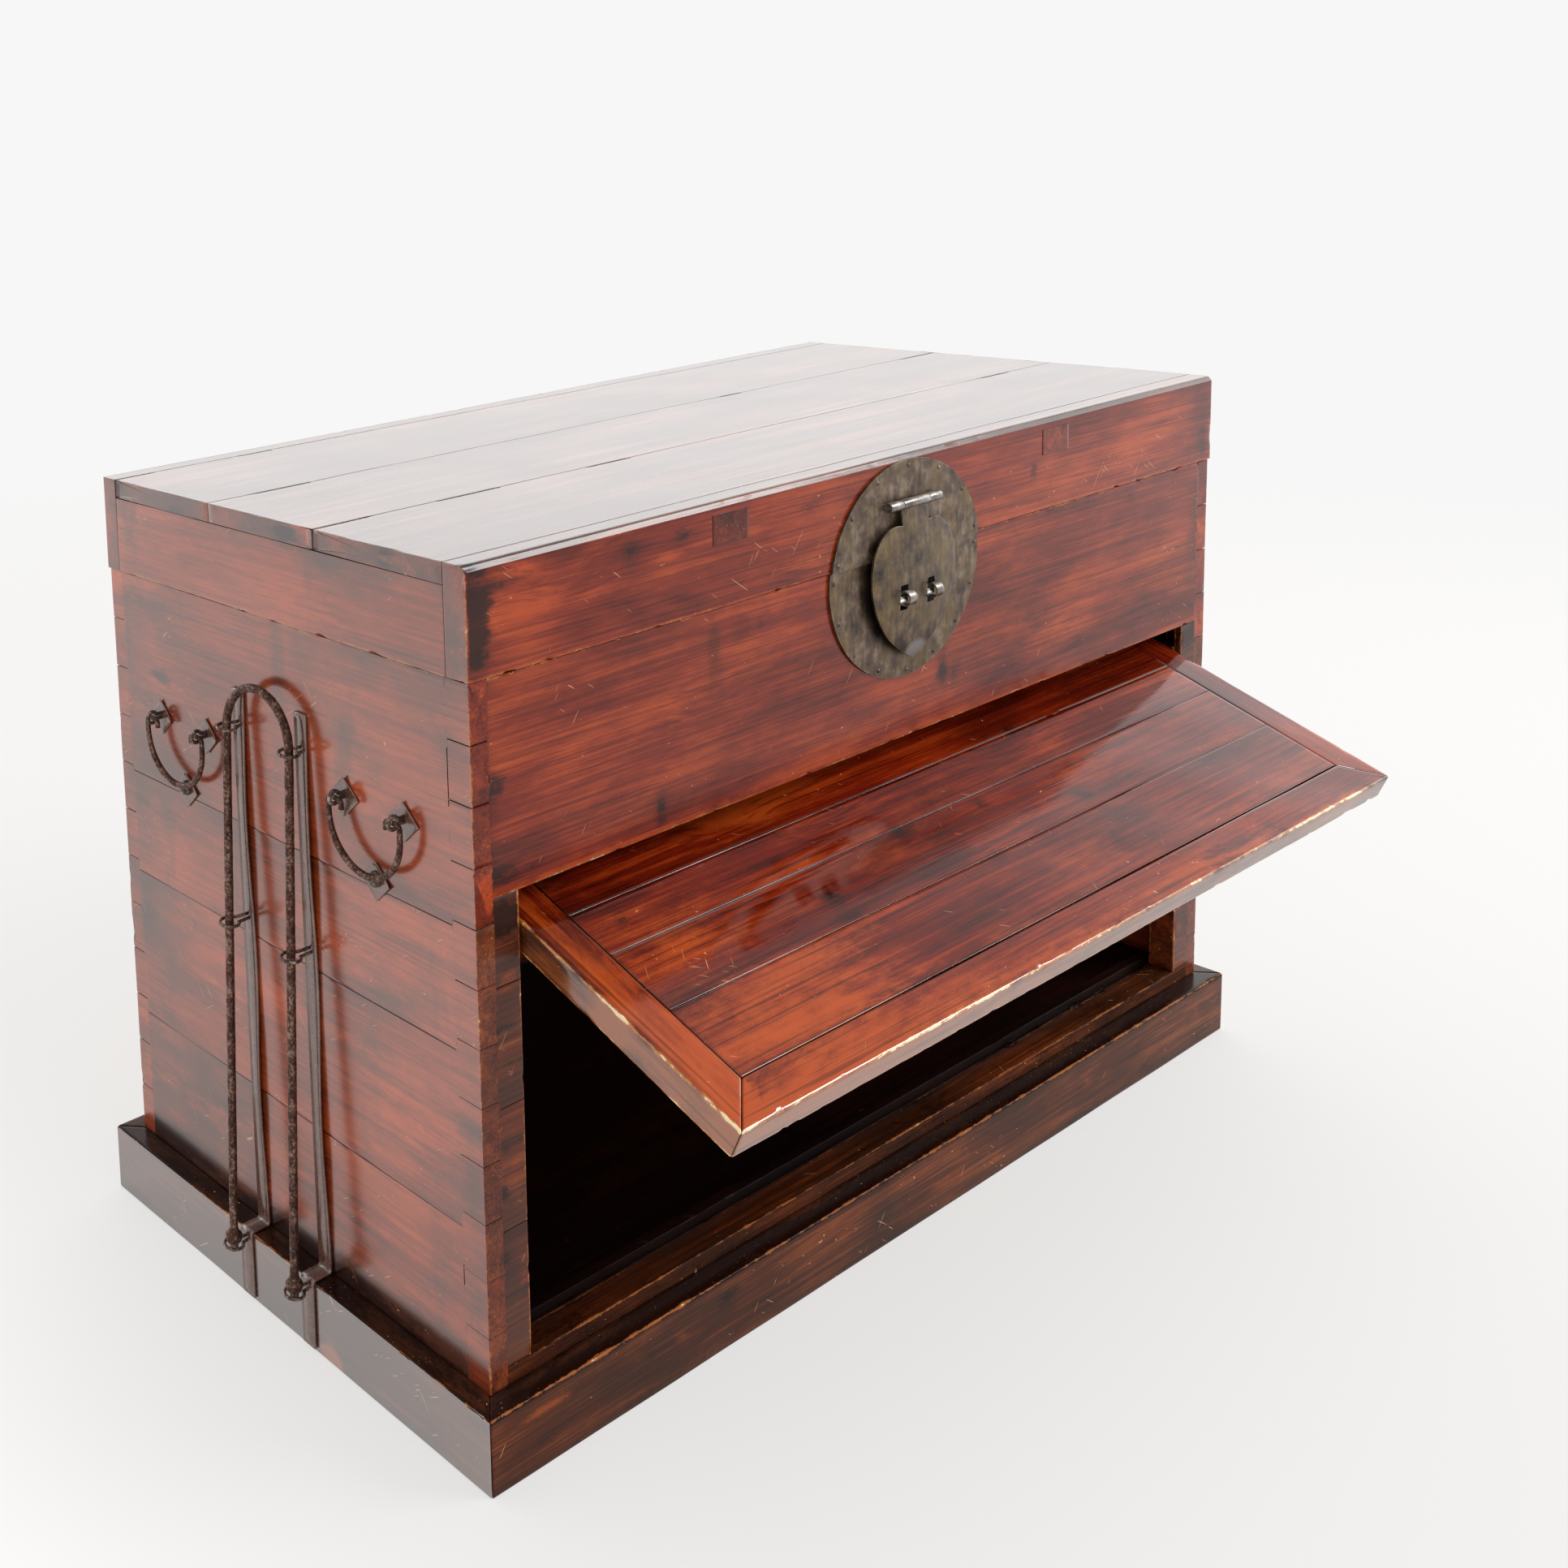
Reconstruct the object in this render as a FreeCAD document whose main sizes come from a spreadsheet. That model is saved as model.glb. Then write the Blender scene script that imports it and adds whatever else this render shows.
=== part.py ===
import FreeCAD, Part
import math
import os

# A lacquered softwood storage trunk: lift-up lid with a two-part lock plate and hasp, a front
# flap that swings up on two pins and pushes back in sloped grooves, sliding carrying handles and
# drop bails on both ends, on a wider plinth. X is the width, -Y the front, Z up; millimetres.

doc = FreeCAD.newDocument("ship_chest")
V = FreeCAD.Vector
os.makedirs("parts", exist_ok=True)

# ---------------------------------------------------------------- named sizes
# the driving sizes: each can be set by itself
SIZES = dict(
    # plinth
    plinth_h=66, rail_w=60, ledge_x=21, ledge_y=20,
    # carcass
    case_w=1080, case_d=480, case_top=644.5, side_t=20, front_t=26, back_t=20,
    side_cut_a=197, side_cut_b=345, side_cut_c=447, back_cut=350,
    finger_rows=12, floor_t=15,
    # front opening
    stile_w=46, sill_h=15, header_gap=5,
    stile_cut_a=197, stile_cut_b=300, stile_cut_c=399,
    stop_gap=9, stop_d=11, stop_h=10,
    # lid
    lid_gap=0.3, lid_h=89.2, lid_over_x=1.5, lid_over_y=2, lid_side_t=20, lid_front_t=24, lid_back_t=20,
    plank_t=18, plank_a=150, plank_b=142, nosing_r=5,
    batten_x=242, batten_w=46, batten_t=26, batten_down=10,
    # lock
    plate_rx=111, plate_rz=100, plate_down=14.5, plate_t=2, plate_gap=0.4, nail_r=3, nail_in=5.5,
    hasp_down=42, hasp_len=144, hasp_neck=38, hasp_half=62, hasp_shoulder=19, hasp_block=30, hasp_t=2,
    hasp_bulge=5, hasp_bow_r=520, knuckle_r=4.5, knuckle_gap=0.5, hasp_pin_r=2,
    staple_x=20, staple_down=35.5, staple_out=2, staple_r=7.2, staple_hole=5, staple_w=9, slot_gap=1,
    # hinges at the back
    hinge_x=330, hinge_out=7.3, hinge_r=6, hinge_pin_r=3, hinge_w=60, leaf_t=3, leaf_down=70, leaf_up=58,
    # flap; it hangs from two pins that ride in sloped grooves
    flap_gap=4, flap_t=26, flap_open=68.2, flap_drop=370, flap_foot=2, flap_stile=41, flap_rail=34,
    flap_back=13, seam_a=101, seam_b=160, seam_c=204, plank_less=4,
    groove_rise=14.663, groove_len=141.481, groove_depth=19, pin_r=5, pin_hold=20, bore_gap=0.05,
    runner_gap=1, runner_under=19, runner_over=23, runner_past=26,
    # carrying handles
    rod_r=4, leg_y=43, arch_out=15.5, arch_z=542, rod_lean=2.577, head_r=8, head_h=10, tail_len=8,
    seat_gap=0.3, eye_r=8.5, eye_wire=1.6, eye_mid=363, eye_down=6,
    strap_w=17, strap_t=2.5, strap_over=30, strap_foot=4,
    # bails
    bail_y=130, bail_z=517, bail_out=12, bail_r=3, bail_half=42.5, bail_bend=4,
    bail_leg=8.5, bail_stub=11.5, post_r=6, post_w=5, post_shank=2.2,
    diamond_r=17, diamond_t=1.5, diamond_down=2, rest_down=6,
)

# sizes that follow from the driving ones
MADE = dict(
    plinth_w="case_w + 2 * ledge_x",
    plinth_d="case_d + 2 * ledge_y",
    finger_h="( case_top - plinth_h ) / finger_rows",
    open_w="case_w - 2 * stile_w",
    open_low="plinth_h + sill_h",
    shut_y="flap_back - case_d / 2",
    shut_z="open_low + flap_foot + flap_drop",
    open_high="shut_z + flap_t / 2 + header_gap",
    stop_w="open_w - 2 * stop_gap",
    pin_y="shut_y + groove_len * cos( groove_rise * 1 deg )",
    pin_z="shut_z + groove_len * sin( groove_rise * 1 deg )",
    # the box around everything, flap open, is centred on the origin
    flap_edge="flap_drop * sin( flap_open * 1 deg ) + flap_t / 2 * cos( flap_open * 1 deg ) - pin_y",
    depth_shift="( flap_edge - plinth_d / 2 ) / 2",
    flap_w="open_w - 2 * flap_gap",
    groove_r="pin_r + bore_gap",
    pin_in="flap_w / 2 - pin_hold",
    pin_out="open_w / 2 + groove_depth - runner_gap",
    runner_t="stile_w - side_t - runner_gap",
    runner_low="shut_z - runner_under",
    runner_high="pin_z + runner_over",
    runner_back="pin_y + runner_past",
    lid_w="case_w + 2 * lid_over_x",
    lid_front_y="case_d / 2 + lid_over_y",
    lid_back_y="case_d / 2 + lid_over_y",
    lid_low="case_top + lid_gap",
    lid_high="lid_low + lid_h",
    batten_high="lid_high - batten_down",
    batten_low="batten_high - batten_t",
    plate_z="case_top - plate_down",
    hasp_z="lid_high - hasp_down",
    hasp_tip="hasp_z - hasp_len",
    hasp_y="lid_front_y + plate_t + knuckle_r + knuckle_gap",
    hasp_front="hasp_y + hasp_bulge",
    hasp_bore_r="hasp_pin_r + bore_gap",
    staple_z="case_top - staple_down",
    staple_y="hasp_front + staple_out",
    hinge_y="lid_back_y + hinge_out",
    hinge_z="case_top + lid_gap / 2",
    hinge_bore_r="hinge_pin_r + bore_gap",
    eye_high="arch_z - 1",
    eye_low="plinth_h - eye_down",
    # the head of each leg ends just above the lowest eye
    leg_len="( arch_z - eye_low - eye_wire - seat_gap ) / cos( rod_lean * 1 deg ) - head_r * tan( rod_lean * 1 deg )",
    strap_top="arch_z + strap_over",
    bail_eye_y="bail_half - bail_bend - post_w / 2 - 1",
    post_bore="bail_r + bore_gap",
    diamond_z="bail_z - diamond_down",
    rest_z="bail_z - bail_bend - bail_leg - bail_half - rest_down",
    # the bail leans on a round knob, a hair away from it
    rest_dome="bail_out - bail_r - diamond_t - seat_gap",
)

sheet = doc.addObject("Spreadsheet::Sheet", "v")
for row, (alias, value) in enumerate(SIZES.items(), 1):
    sheet.set("A%d" % row, alias)
    sheet.set("B%d" % row, str(value))
    sheet.setAlias("B%d" % row, alias)
doc.recompute()
made = doc.addObject("App::VarSet", "made")


def words(expression):
    """An expression written in bare size names, with each name's owner put in front of it."""
    text = expression.replace("(", "( ").replace(")", " )").split(" ")
    return " ".join("v." + w if w in SIZES else "made." + w if w in MADE else w for w in text)


for alias in MADE:
    made.addProperty("App::PropertyFloat", alias)
for alias, expression in MADE.items():
    made.setExpression(alias, words(expression))
doc.recompute()


def size(alias):
    return float(getattr(made, alias) if alias in MADE else sheet.get(alias))


# ---------------------------------------------------------------- building blocks
def tie(obj, **links):
    """Bind properties to named sizes."""
    for key, expression in links.items():
        obj.setExpression(key.replace("__", "."), words(expression))
    return obj


def place(obj, x="0", y="0", z="0"):
    return tie(obj, Placement__Base__x=x, Placement__Base__y="( " + y + " ) + depth_shift",
               Placement__Base__z=z)


def box(name, x, y, z, lx, ly, lz):
    """A board from its low corner (x, y, z); y is measured from the middle of the carcass."""
    obj = tie(doc.addObject("Part::Box", name), Length=lx, Width=ly, Height=lz)
    return place(obj, x, y, z)


AXES = {"x": FreeCAD.Rotation(V(0, 1, 0), 90), "y": FreeCAD.Rotation(V(1, 0, 0), -90),
        "z": FreeCAD.Rotation(), "-y": FreeCAD.Rotation(V(1, 0, 0), 90)}


def rod(name, axis, x, y, z, radius, length):
    obj = tie(doc.addObject("Part::Cylinder", name), Radius=radius, Height=length)
    obj.Placement.Rotation = AXES[axis]
    return place(obj, x, y, z)


def cut(name, base, tool):
    obj = doc.addObject("Part::Cut", name)
    obj.Base = base
    obj.Tool = tool
    return obj


def fuse(name, shapes):
    obj = doc.addObject("Part::MultiFuse", name)
    obj.Shapes = shapes
    return obj


def group(name, shapes):
    obj = doc.addObject("Part::Compound", name)
    obj.Links = shapes
    return obj


NODES = []


def node(obj, label):
    obj.Label = label
    NODES.append(obj)
    return obj


SIDES = (("left", "-", -1), ("right", "", 1))

# ---------------------------------------------------------------- plinth: four mitred rails
for label, half, turn in (("front", "plinth_w", 0), ("back", "plinth_w", 180),
                          ("left", "plinth_d", -90), ("right", "plinth_d", 90)):
    rail = doc.addObject("Part::Wedge", "rail_" + label)
    tie(rail, Xmin="-" + "( " + half + " ) / 2", Xmax="( " + half + " ) / 2", Ymin="0", Ymax="rail_w",
        Zmin="0", Zmax="plinth_h", Z2min="0", Z2max="plinth_h",
        X2min="-( " + half + " ) / 2 + rail_w", X2max="( " + half + " ) / 2 - rail_w")
    rail.Placement.Rotation = FreeCAD.Rotation(V(0, 0, 1), turn)
    out = {"front": ("0", "-plinth_d / 2"), "back": ("0", "plinth_d / 2"),
           "left": ("-plinth_w / 2", "0"), "right": ("plinth_w / 2", "0")}[label]
    out = [o.replace("-plinth", "-1 * plinth") for o in out]
    node(place(rail, out[0], out[1], "0"), "plinth_" + label)

# ---------------------------------------------------------------- floor and the flap's stop strip
node(box("floor", "-1 * case_w / 2 + side_t", "-1 * case_d / 2 + front_t", "plinth_h",
         "case_w - 2 * side_t", "case_d - front_t - back_t", "floor_t"), "floor_board")
node(box("stop", "-1 * stop_w / 2", "-1 * case_d / 2 + front_t + runner_gap", "open_low",
         "stop_w", "stop_d", "stop_h"), "flap_stop")


# ---------------------------------------------------------------- finger-jointed walls
def fingers(name, first):
    """Every second finger zone at the four corners, as one tool: the corner blocks to leave out."""
    blocks = []
    for k in range(first, int(size("finger_rows")), 2):
        for x in ("-1 * case_w / 2", "case_w / 2 - side_t"):
            for y, depth in (("-1 * case_d / 2", "front_t"), ("case_d / 2 - back_t", "back_t")):
                blocks.append(box("%s_%d" % (name, len(blocks)), x, y,
                                  "plinth_h + %d * finger_h" % k, "side_t", depth, "finger_h"))
    return group(name, blocks)


keep_sides = fingers("side_zone", 0)
keep_fronts = fingers("front_zone", 1)

cuts = ["plinth_h", "side_cut_a", "side_cut_b", "side_cut_c", "case_top"]
for side, sign, s in SIDES:
    x = "-1 * case_w / 2" if s < 0 else "case_w / 2 - side_t"
    for k in range(4):
        board = box("side_%s_%d_blank" % (side, k), x, "-1 * case_d / 2", cuts[k],
                    "side_t", "case_d", cuts[k + 1] + " - " + cuts[k])
        node(cut("side_%s_%d" % (side, k), board, keep_fronts), "side_%s_%d" % (side, k + 1))

for k, (low, high) in enumerate((("plinth_h", "back_cut"), ("back_cut", "case_top"))):
    board = box("back_%d_blank" % k, "-1 * case_w / 2", "case_d / 2 - back_t", low,
                "case_w", "back_t", high + " - " + low)
    node(cut("back_%d" % k, board, keep_sides), "back_%d" % (k + 1))

board = box("header_blank", "-1 * case_w / 2", "-1 * case_d / 2", "open_high",
            "case_w", "front_t", "case_top - open_high")
node(cut("header_cut", board, keep_sides), "header_board")
board = box("sill_blank", "-1 * case_w / 2", "-1 * case_d / 2", "plinth_h",
            "case_w", "front_t", "open_low - plinth_h")
node(cut("sill_cut", board, keep_sides), "sill")


# ---------------------------------------------------------------- grooves for the flap's pins
def groove(side, s):
    """The slot a pin rides in: a sloped bar with a round end at the shut and at the open place."""
    x = "-1 * open_w / 2 - groove_depth" if s < 0 else "open_w / 2"
    ends = [rod("groove_%s_%s" % (side, k), "x", x, y, z, "groove_r", "groove_depth")
            for k, y, z in (("shut", "shut_y", "shut_z"), ("open", "pin_y", "pin_z"))]
    bar = tie(doc.addObject("Part::Box", "groove_%s_bar" % side),
              Length="groove_depth", Width="groove_len", Height="2 * groove_r")
    bar.Placement.Rotation = FreeCAD.Rotation(V(1, 0, 0), size("groove_rise"))
    place(bar, x, "shut_y + groove_r * sin( groove_rise * 1 deg )",
          "shut_z - groove_r * cos( groove_rise * 1 deg )")
    return fuse("groove_" + side, ends + [bar])


runners = []
levels = ["open_low", "stile_cut_a", "stile_cut_b", "stile_cut_c", "open_high"]
for side, sign, s in SIDES:
    slot = groove(side, s)
    x = "-1 * case_w / 2" if s < 0 else "open_w / 2"
    courses = []
    for k in range(4):
        blank = box("stile_%s_%d" % (side, k), x, "-1 * case_d / 2", levels[k],
                    "( case_w - open_w ) / 2", "front_t", levels[k + 1] + " - " + levels[k])
        piece = cut("stile_%s_%d_cut" % (side, k), blank, keep_sides)
        if k == 3:
            piece = cut("stile_%s_slot" % side, piece, slot)
        courses.append(piece)
    node(group("stile_" + side, courses), "stile_" + side)
    x = "-1 * case_w / 2 + side_t" if s < 0 else "case_w / 2 - side_t - runner_t"
    block = box("runner_%s_blank" % side, x, "-1 * case_d / 2 + front_t", "runner_low",
                "runner_t", "runner_back + case_d / 2 - front_t", "runner_high - runner_low")
    runners.append(cut("runner_" + side, block, slot))
node(group("runners", runners), "flap_runners")

# ---------------------------------------------------------------- lid
front = tie(doc.addObject("Part::Box", "lid_front_blank"), Length="lid_w", Width="lid_front_t",
            Height="lid_high - lid_low")
place(front, "-1 * lid_w / 2", "-1 * lid_front_y", "lid_low")
doc.recompute()
edges = [i for i, e in enumerate(front.Shape.Edges, 1)
         if e.BoundBox.XLength > size("lid_w") - 1 and e.BoundBox.ZMin > size("lid_high") - 1
         and e.BoundBox.YMax < size("depth_shift") - size("lid_front_y") + 1]
nosing = doc.addObject("Part::Fillet", "lid_nosing")
nosing.Base = front
nosing.Edges = [(edges[0], size("nosing_r"), size("nosing_r"))]

battens = [box("batten_%s" % side, "%s1 * batten_x - batten_w / 2" % sign, "-1 * lid_front_y",
               "batten_low", "batten_w", "lid_front_y + lid_back_y - lid_back_t",
               "batten_high - batten_low") for side, sign, s in SIDES]
batten_pair = group("battens", battens)
node(cut("lid_front", nosing, batten_pair), "lid_front")
node(box("lid_back", "-1 * lid_w / 2", "lid_back_y - lid_back_t", "lid_low", "lid_w", "lid_back_t",
         "lid_high - lid_low"), "lid_back")
for side, sign, s in SIDES:
    x = "-1 * lid_w / 2" if s < 0 else "lid_w / 2 - lid_side_t"
    node(box("lid_" + side, x, "-1 * lid_front_y + lid_front_t", "lid_low", "lid_side_t",
             "lid_front_y + lid_back_y - lid_front_t - lid_back_t",
             "lid_high - plank_t - lid_low"), "lid_" + side)
inside = "-1 * lid_front_y + lid_front_t"
for k, (y, width) in enumerate(((inside, "plank_a"), (inside + " + plank_a", "plank_b"),
                                (inside + " + plank_a + plank_b",
                                 "lid_front_y + lid_back_y - lid_front_t - lid_back_t - plank_a - plank_b"))):
    plank = box("plank_%d_blank" % k, "-1 * lid_w / 2", y, "lid_high - plank_t", "lid_w", width, "plank_t")
    node(cut("plank_%d" % k, plank, batten_pair), "lid_plank_%d" % (k + 1))
node(batten_pair, "lid_battens")


# ---------------------------------------------------------------- lock plate in two parts, nails
def half_plate(name, front_face, low, high):
    """The part of an elliptical plate between two heights, its back on the wooden face."""
    ring = tie(doc.addObject("Part::Ellipse", name + "_edge"), MajorRadius="plate_rx", MinorRadius="plate_rz")
    ring.Placement.Rotation = AXES["-y"]
    place(ring, "0", front_face, "plate_z")
    disc = doc.addObject("Part::Extrusion", name + "_disc")
    disc.Base = ring
    disc.Dir = V(0, -1, 0)
    disc.Solid = True
    tie(disc, LengthFwd="plate_t")
    band = box(name + "_band", "-1 * plate_rx - 5", front_face + " - 10", low, "2 * plate_rx + 10", "20",
               high + " - ( " + low + " )")
    common = doc.addObject("Part::MultiCommon", name)
    common.Shapes = [disc, band]
    return common


def dome(name, x, y, z, radius, turn):
    ball = tie(doc.addObject("Part::Sphere", name), Radius=radius)
    ball.Angle1 = 0
    ball.Placement.Rotation = turn
    return place(ball, x, y, z)


def nails(name, front_face, first, last, count):
    heads = []
    for k in range(count):
        a = math.radians(first + (last - first) * k / (count - 1))
        heads.append(dome("%s_%d" % (name, k), "%.5f * ( plate_rx - nail_in )" % math.cos(a),
                          front_face + " - plate_t",
                          "plate_z + %.5f * ( plate_rz - nail_in )" % math.sin(a), "nail_r", AXES["-y"]))
    return group(name, heads)


node(half_plate("plate_upper", "-1 * lid_front_y", "lid_low + plate_gap", "lid_high"), "lock_plate_upper")
node(half_plate("plate_lower", "-1 * case_d / 2", "plate_z - plate_rz - 5", "case_top - plate_gap"),
     "lock_plate_lower")
node(nails("nails_up", "-1 * lid_front_y", 13, 167, 7), "nails_upper")
node(nails("nails_low", "-1 * case_d / 2", 177, 363, 9), "nails_lower")

# ---------------------------------------------------------------- hasp, its hanger and the staples
hanger = []
for side, x in (("left", "-1 * hasp_neck"), ("right", "hasp_neck / 2 + knuckle_gap")):
    length = "hasp_neck / 2 - knuckle_gap"
    tube = rod("hanger_%s_tube" % side, "x", x, "-1 * hasp_y", "hasp_z", "knuckle_r", length)
    foot = box("hanger_%s_foot" % side, x, "-1 * hasp_y", "hasp_z - 2.5", length,
               "hasp_y - lid_front_y - plate_t", "5")
    bore = rod("hanger_%s_bore" % side, "x", x + " - 1", "-1 * hasp_y", "hasp_z", "hasp_bore_r", length + " + 2")
    hanger.append(cut("hanger_" + side, fuse("hanger_%s_body" % side, [tube, foot]), bore))
node(group("hanger", hanger), "hasp_hanger")
node(rod("hasp_pin_rod", "x", "-1 * hasp_neck - 1", "-1 * hasp_y", "hasp_z", "hasp_pin_r",
         "2 * hasp_neck + 2"), "hasp_pin")

# outline of the peach-shaped hasp, half of it: (share of half width, height) down from the neck
hasp_body = doc.addObject("PartDesign::Body", "hasp_leaf")
planes = {f.Role: f for f in hasp_body.Origin.OriginFeatures}
outline = hasp_body.newObject("Sketcher::SketchObject", "hasp_outline")
outline.AttachmentSupport = [(planes["XZ_Plane"], "")]
outline.MapMode = "FlatFace"
half_neck = size("hasp_neck") / 2
top, tip, wide = size("hasp_z"), size("hasp_tip"), size("hasp_half")
leaf = top - size("hasp_shoulder") - tip
right = [V(half_neck, tip + leaf, 0)]
right += [V(share * wide, tip + up * leaf, 0) for share, up in (
    (0.72, 0.96), (0.95, 0.8), (1, 0.616), (0.89, 0.4), (0.58, 0.184), (0.24, 0.064), (0, 0))]
left = [V(-p.x, p.y, 0) for p in reversed(right)]
for points in (right, left):
    curve = Part.BSplineCurve()
    curve.interpolate(points)
    outline.addGeometry(curve, False)
for a, b in ((V(half_neck, top, 0), right[0]), (left[-1], V(-half_neck, top, 0)),
             (V(-half_neck, top, 0), V(half_neck, top, 0))):
    outline.addGeometry(Part.LineSegment(a, b), False)
hasp_pad = hasp_body.newObject("PartDesign::Pad", "hasp_pad")
hasp_pad.Profile = outline
tie(hasp_pad, Length="hasp_block")
hasp_pad.Reversed = False
place(hasp_body, "0", "-1 * lid_front_y + 7", "0")
shells = []
for name, less in (("hasp_ball_out", "0"), ("hasp_ball_in", "hasp_t")):
    ball = tie(doc.addObject("Part::Sphere", name), Radius="hasp_bow_r - " + less)
    shells.append(place(ball, "0", "-1 * hasp_front + hasp_bow_r", "( hasp_z + hasp_tip ) / 2 + 5"))
shell = cut("hasp_shell", shells[0], shells[1])
dished = doc.addObject("Part::MultiCommon", "hasp_dished")
dished.Shapes = [hasp_body, shell]
barrel = rod("hasp_barrel", "x", "-1 * hasp_neck / 2", "-1 * hasp_y", "hasp_z", "knuckle_r", "hasp_neck")
leaf = fuse("hasp_with_barrel", [dished, barrel])
tools = [rod("hasp_bore", "x", "-1 * hasp_neck", "-1 * hasp_y", "hasp_z", "hasp_bore_r", "2 * hasp_neck")]
for side, sign, s in SIDES:
    tools.append(box("hasp_slot_" + side, "%s1 * staple_x - staple_w / 2 - slot_gap" % sign, "-1 * hasp_front - 5",
                     "staple_z - staple_r - 5", "staple_w + 2 * slot_gap", "20", "2 * staple_r + 9"))
node(cut("hasp_cut", leaf, fuse("hasp_tools", tools)), "hasp")

loops = []
for side, sign, s in SIDES:
    x = "%s1 * staple_x - staple_w / 2" % sign
    ring = rod("staple_%s_ring" % side, "x", x, "-1 * staple_y", "staple_z", "staple_r", "staple_w")
    neck = box("staple_%s_neck" % side, x, "-1 * staple_y", "staple_z - staple_r",
               "staple_w", "staple_y - case_d / 2 - plate_t", "2 * staple_r")
    hole = rod("staple_%s_hole" % side, "x", x + " - 1", "-1 * staple_y", "staple_z", "staple_hole",
               "staple_w + 2")
    loops.append(cut("staple_" + side, fuse("staple_%s_body" % side, [ring, neck]), hole))
node(group("staple_pair", loops), "staples")

# ---------------------------------------------------------------- back hinges
for which, leaf_face, low, high, spans in (
        ("lower", "case_d / 2", "case_top - leaf_down", "case_top - plate_gap", (("0", "0.33"), ("0.67", "0.33"))),
        ("upper", "lid_back_y", "lid_low + plate_gap", "lid_low + leaf_up", (("0.335", "0.33"),))):
    leaves = []
    for side, sign, s in SIDES:
        x0 = "%s1 * hinge_x - hinge_w / 2" % sign
        plate = box("hinge_%s_%s_leaf" % (which, side), x0, leaf_face, low, "hinge_w", "leaf_t",
                    high + " - ( " + low + " )")
        parts = [plate]
        for k, (start, share) in enumerate(spans):
            x = x0 + " + " + start + " * hinge_w"
            wide_k = share + " * hinge_w"
            tag = "hinge_%s_%s_%d" % (which, side, k)
            parts.append(rod(tag, "x", x, "hinge_y", "hinge_z", "hinge_r", wide_k))
            z = "hinge_z - 9" if which == "lower" else "hinge_z"
            parts.append(box(tag + "_web", x, leaf_face, z, wide_k, "hinge_y - ( " + leaf_face + " )", "9"))
        solid = fuse("hinge_%s_%s" % (which, side), parts)
        trim = [rod("hinge_%s_%s_bore" % (which, side), "x", x0 + " - 1", "hinge_y", "hinge_z",
                    "hinge_bore_r", "hinge_w + 2")]
        if which == "lower":
            trim.append(box("hinge_%s_gap" % side, x0 + " + 0.33 * hinge_w", "case_d / 2 - 1",
                            "hinge_z - hinge_r - 1", "0.34 * hinge_w", "20", "20"))
        else:
            for k, start in enumerate(("-0.01", "0.665")):
                trim.append(box("hinge_up_%s_gap_%d" % (side, k), x0 + " + " + start + " * hinge_w",
                                "lid_back_y - 1", "hinge_z + hinge_r + 1 - 20", "0.345 * hinge_w", "20", "20"))
        leaves.append(cut("hinge_%s_%s_cut" % (which, side), solid, fuse("hinge_trim_%s_%s" % (which, side), trim)))
    node(group("hinge_pair_" + which, leaves), "hinge_leaves_" + which)
node(group("hinge_pin_pair", [rod("hinge_pin_" + side, "x", "%s1 * hinge_x - hinge_w / 2 - 2" % sign,
                                  "hinge_y", "hinge_z", "hinge_pin_r", "hinge_w + 4")
                              for side, sign, s in SIDES]), "hinge_pins")


# ---------------------------------------------------------------- flap: mitred frame and planks
def hang(piece, label):
    """Turn a flap piece, drawn shut about the pins at (0, 0), to the open pose, as a node."""
    hung = group(piece.Name + "_hung", [piece])
    hung.Placement.Rotation = FreeCAD.Rotation(V(1, 0, 0), -size("flap_open"))
    return node(place(hung, "0", "pin_y", "pin_z"), label)


def flap_wedge(name, long_side, reach, width, turn, x, z):
    """A mitred frame member: long_side outside, narrower inside by the neighbours' widths."""
    piece = doc.addObject("Part::Wedge", name)
    tie(piece, Xmin="-( " + long_side + " ) / 2", Xmax="( " + long_side + " ) / 2", Ymin="0", Ymax=width,
        Zmin="0", Zmax="flap_t", Z2min="0", Z2max="flap_t",
        X2min="-( " + long_side + " ) / 2 + " + reach, X2max="( " + long_side + " ) / 2 - " + reach)
    piece.Placement.Rotation = (FreeCAD.Rotation(V(0, 1, 0), turn) * FreeCAD.Rotation(V(1, 0, 0), 90))
    tie(piece, Placement__Base__x=x, Placement__Base__y="flap_t / 2", Placement__Base__z=z)
    return piece


full = "flap_drop + flap_t / 2"
middle = "( flap_t / 2 - flap_drop ) / 2"
bottom = flap_wedge("flap_bottom", "flap_w", "flap_stile", "flap_rail", 0, "0", "-1 * flap_drop")
upper = flap_wedge("flap_top_blank", "flap_w", "flap_stile", "flap_rail", 180, "0", "flap_t / 2")
stiles = [flap_wedge("flap_left_blank", full, "flap_rail", "flap_stile", 90, "-1 * flap_w / 2", middle),
          flap_wedge("flap_right_blank", full, "flap_rail", "flap_stile", -90, "flap_w / 2", middle)]
# the top edge is a full round about the pins, so that it clears the header as it swings
keep = tie(doc.addObject("Part::Cylinder", "round_keep"), Radius="flap_t / 2", Height="flap_w + 20")
keep.Placement.Rotation = AXES["x"]
tie(keep, Placement__Base__x="-1 * flap_w / 2 - 10")
below = tie(doc.addObject("Part::Box", "round_below"), Length="flap_w + 20", Width="flap_t", Height="flap_drop + 5")
tie(below, Placement__Base__x="-1 * flap_w / 2 - 10", Placement__Base__y="-1 * flap_t / 2",
    Placement__Base__z="-1 * flap_drop - 5")
envelope = fuse("round_envelope", [keep, below])
bores = []
for side, x in (("left", "-1 * flap_w / 2 - 1"), ("right", "pin_in - 1")):
    hole = tie(doc.addObject("Part::Cylinder", "flap_hole_" + side), Radius="groove_r",
               Height="flap_w / 2 - pin_in + 2")
    hole.Placement.Rotation = AXES["x"]
    bores.append(tie(hole, Placement__Base__x=x))
pin_holes = group("flap_holes", bores)
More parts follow.
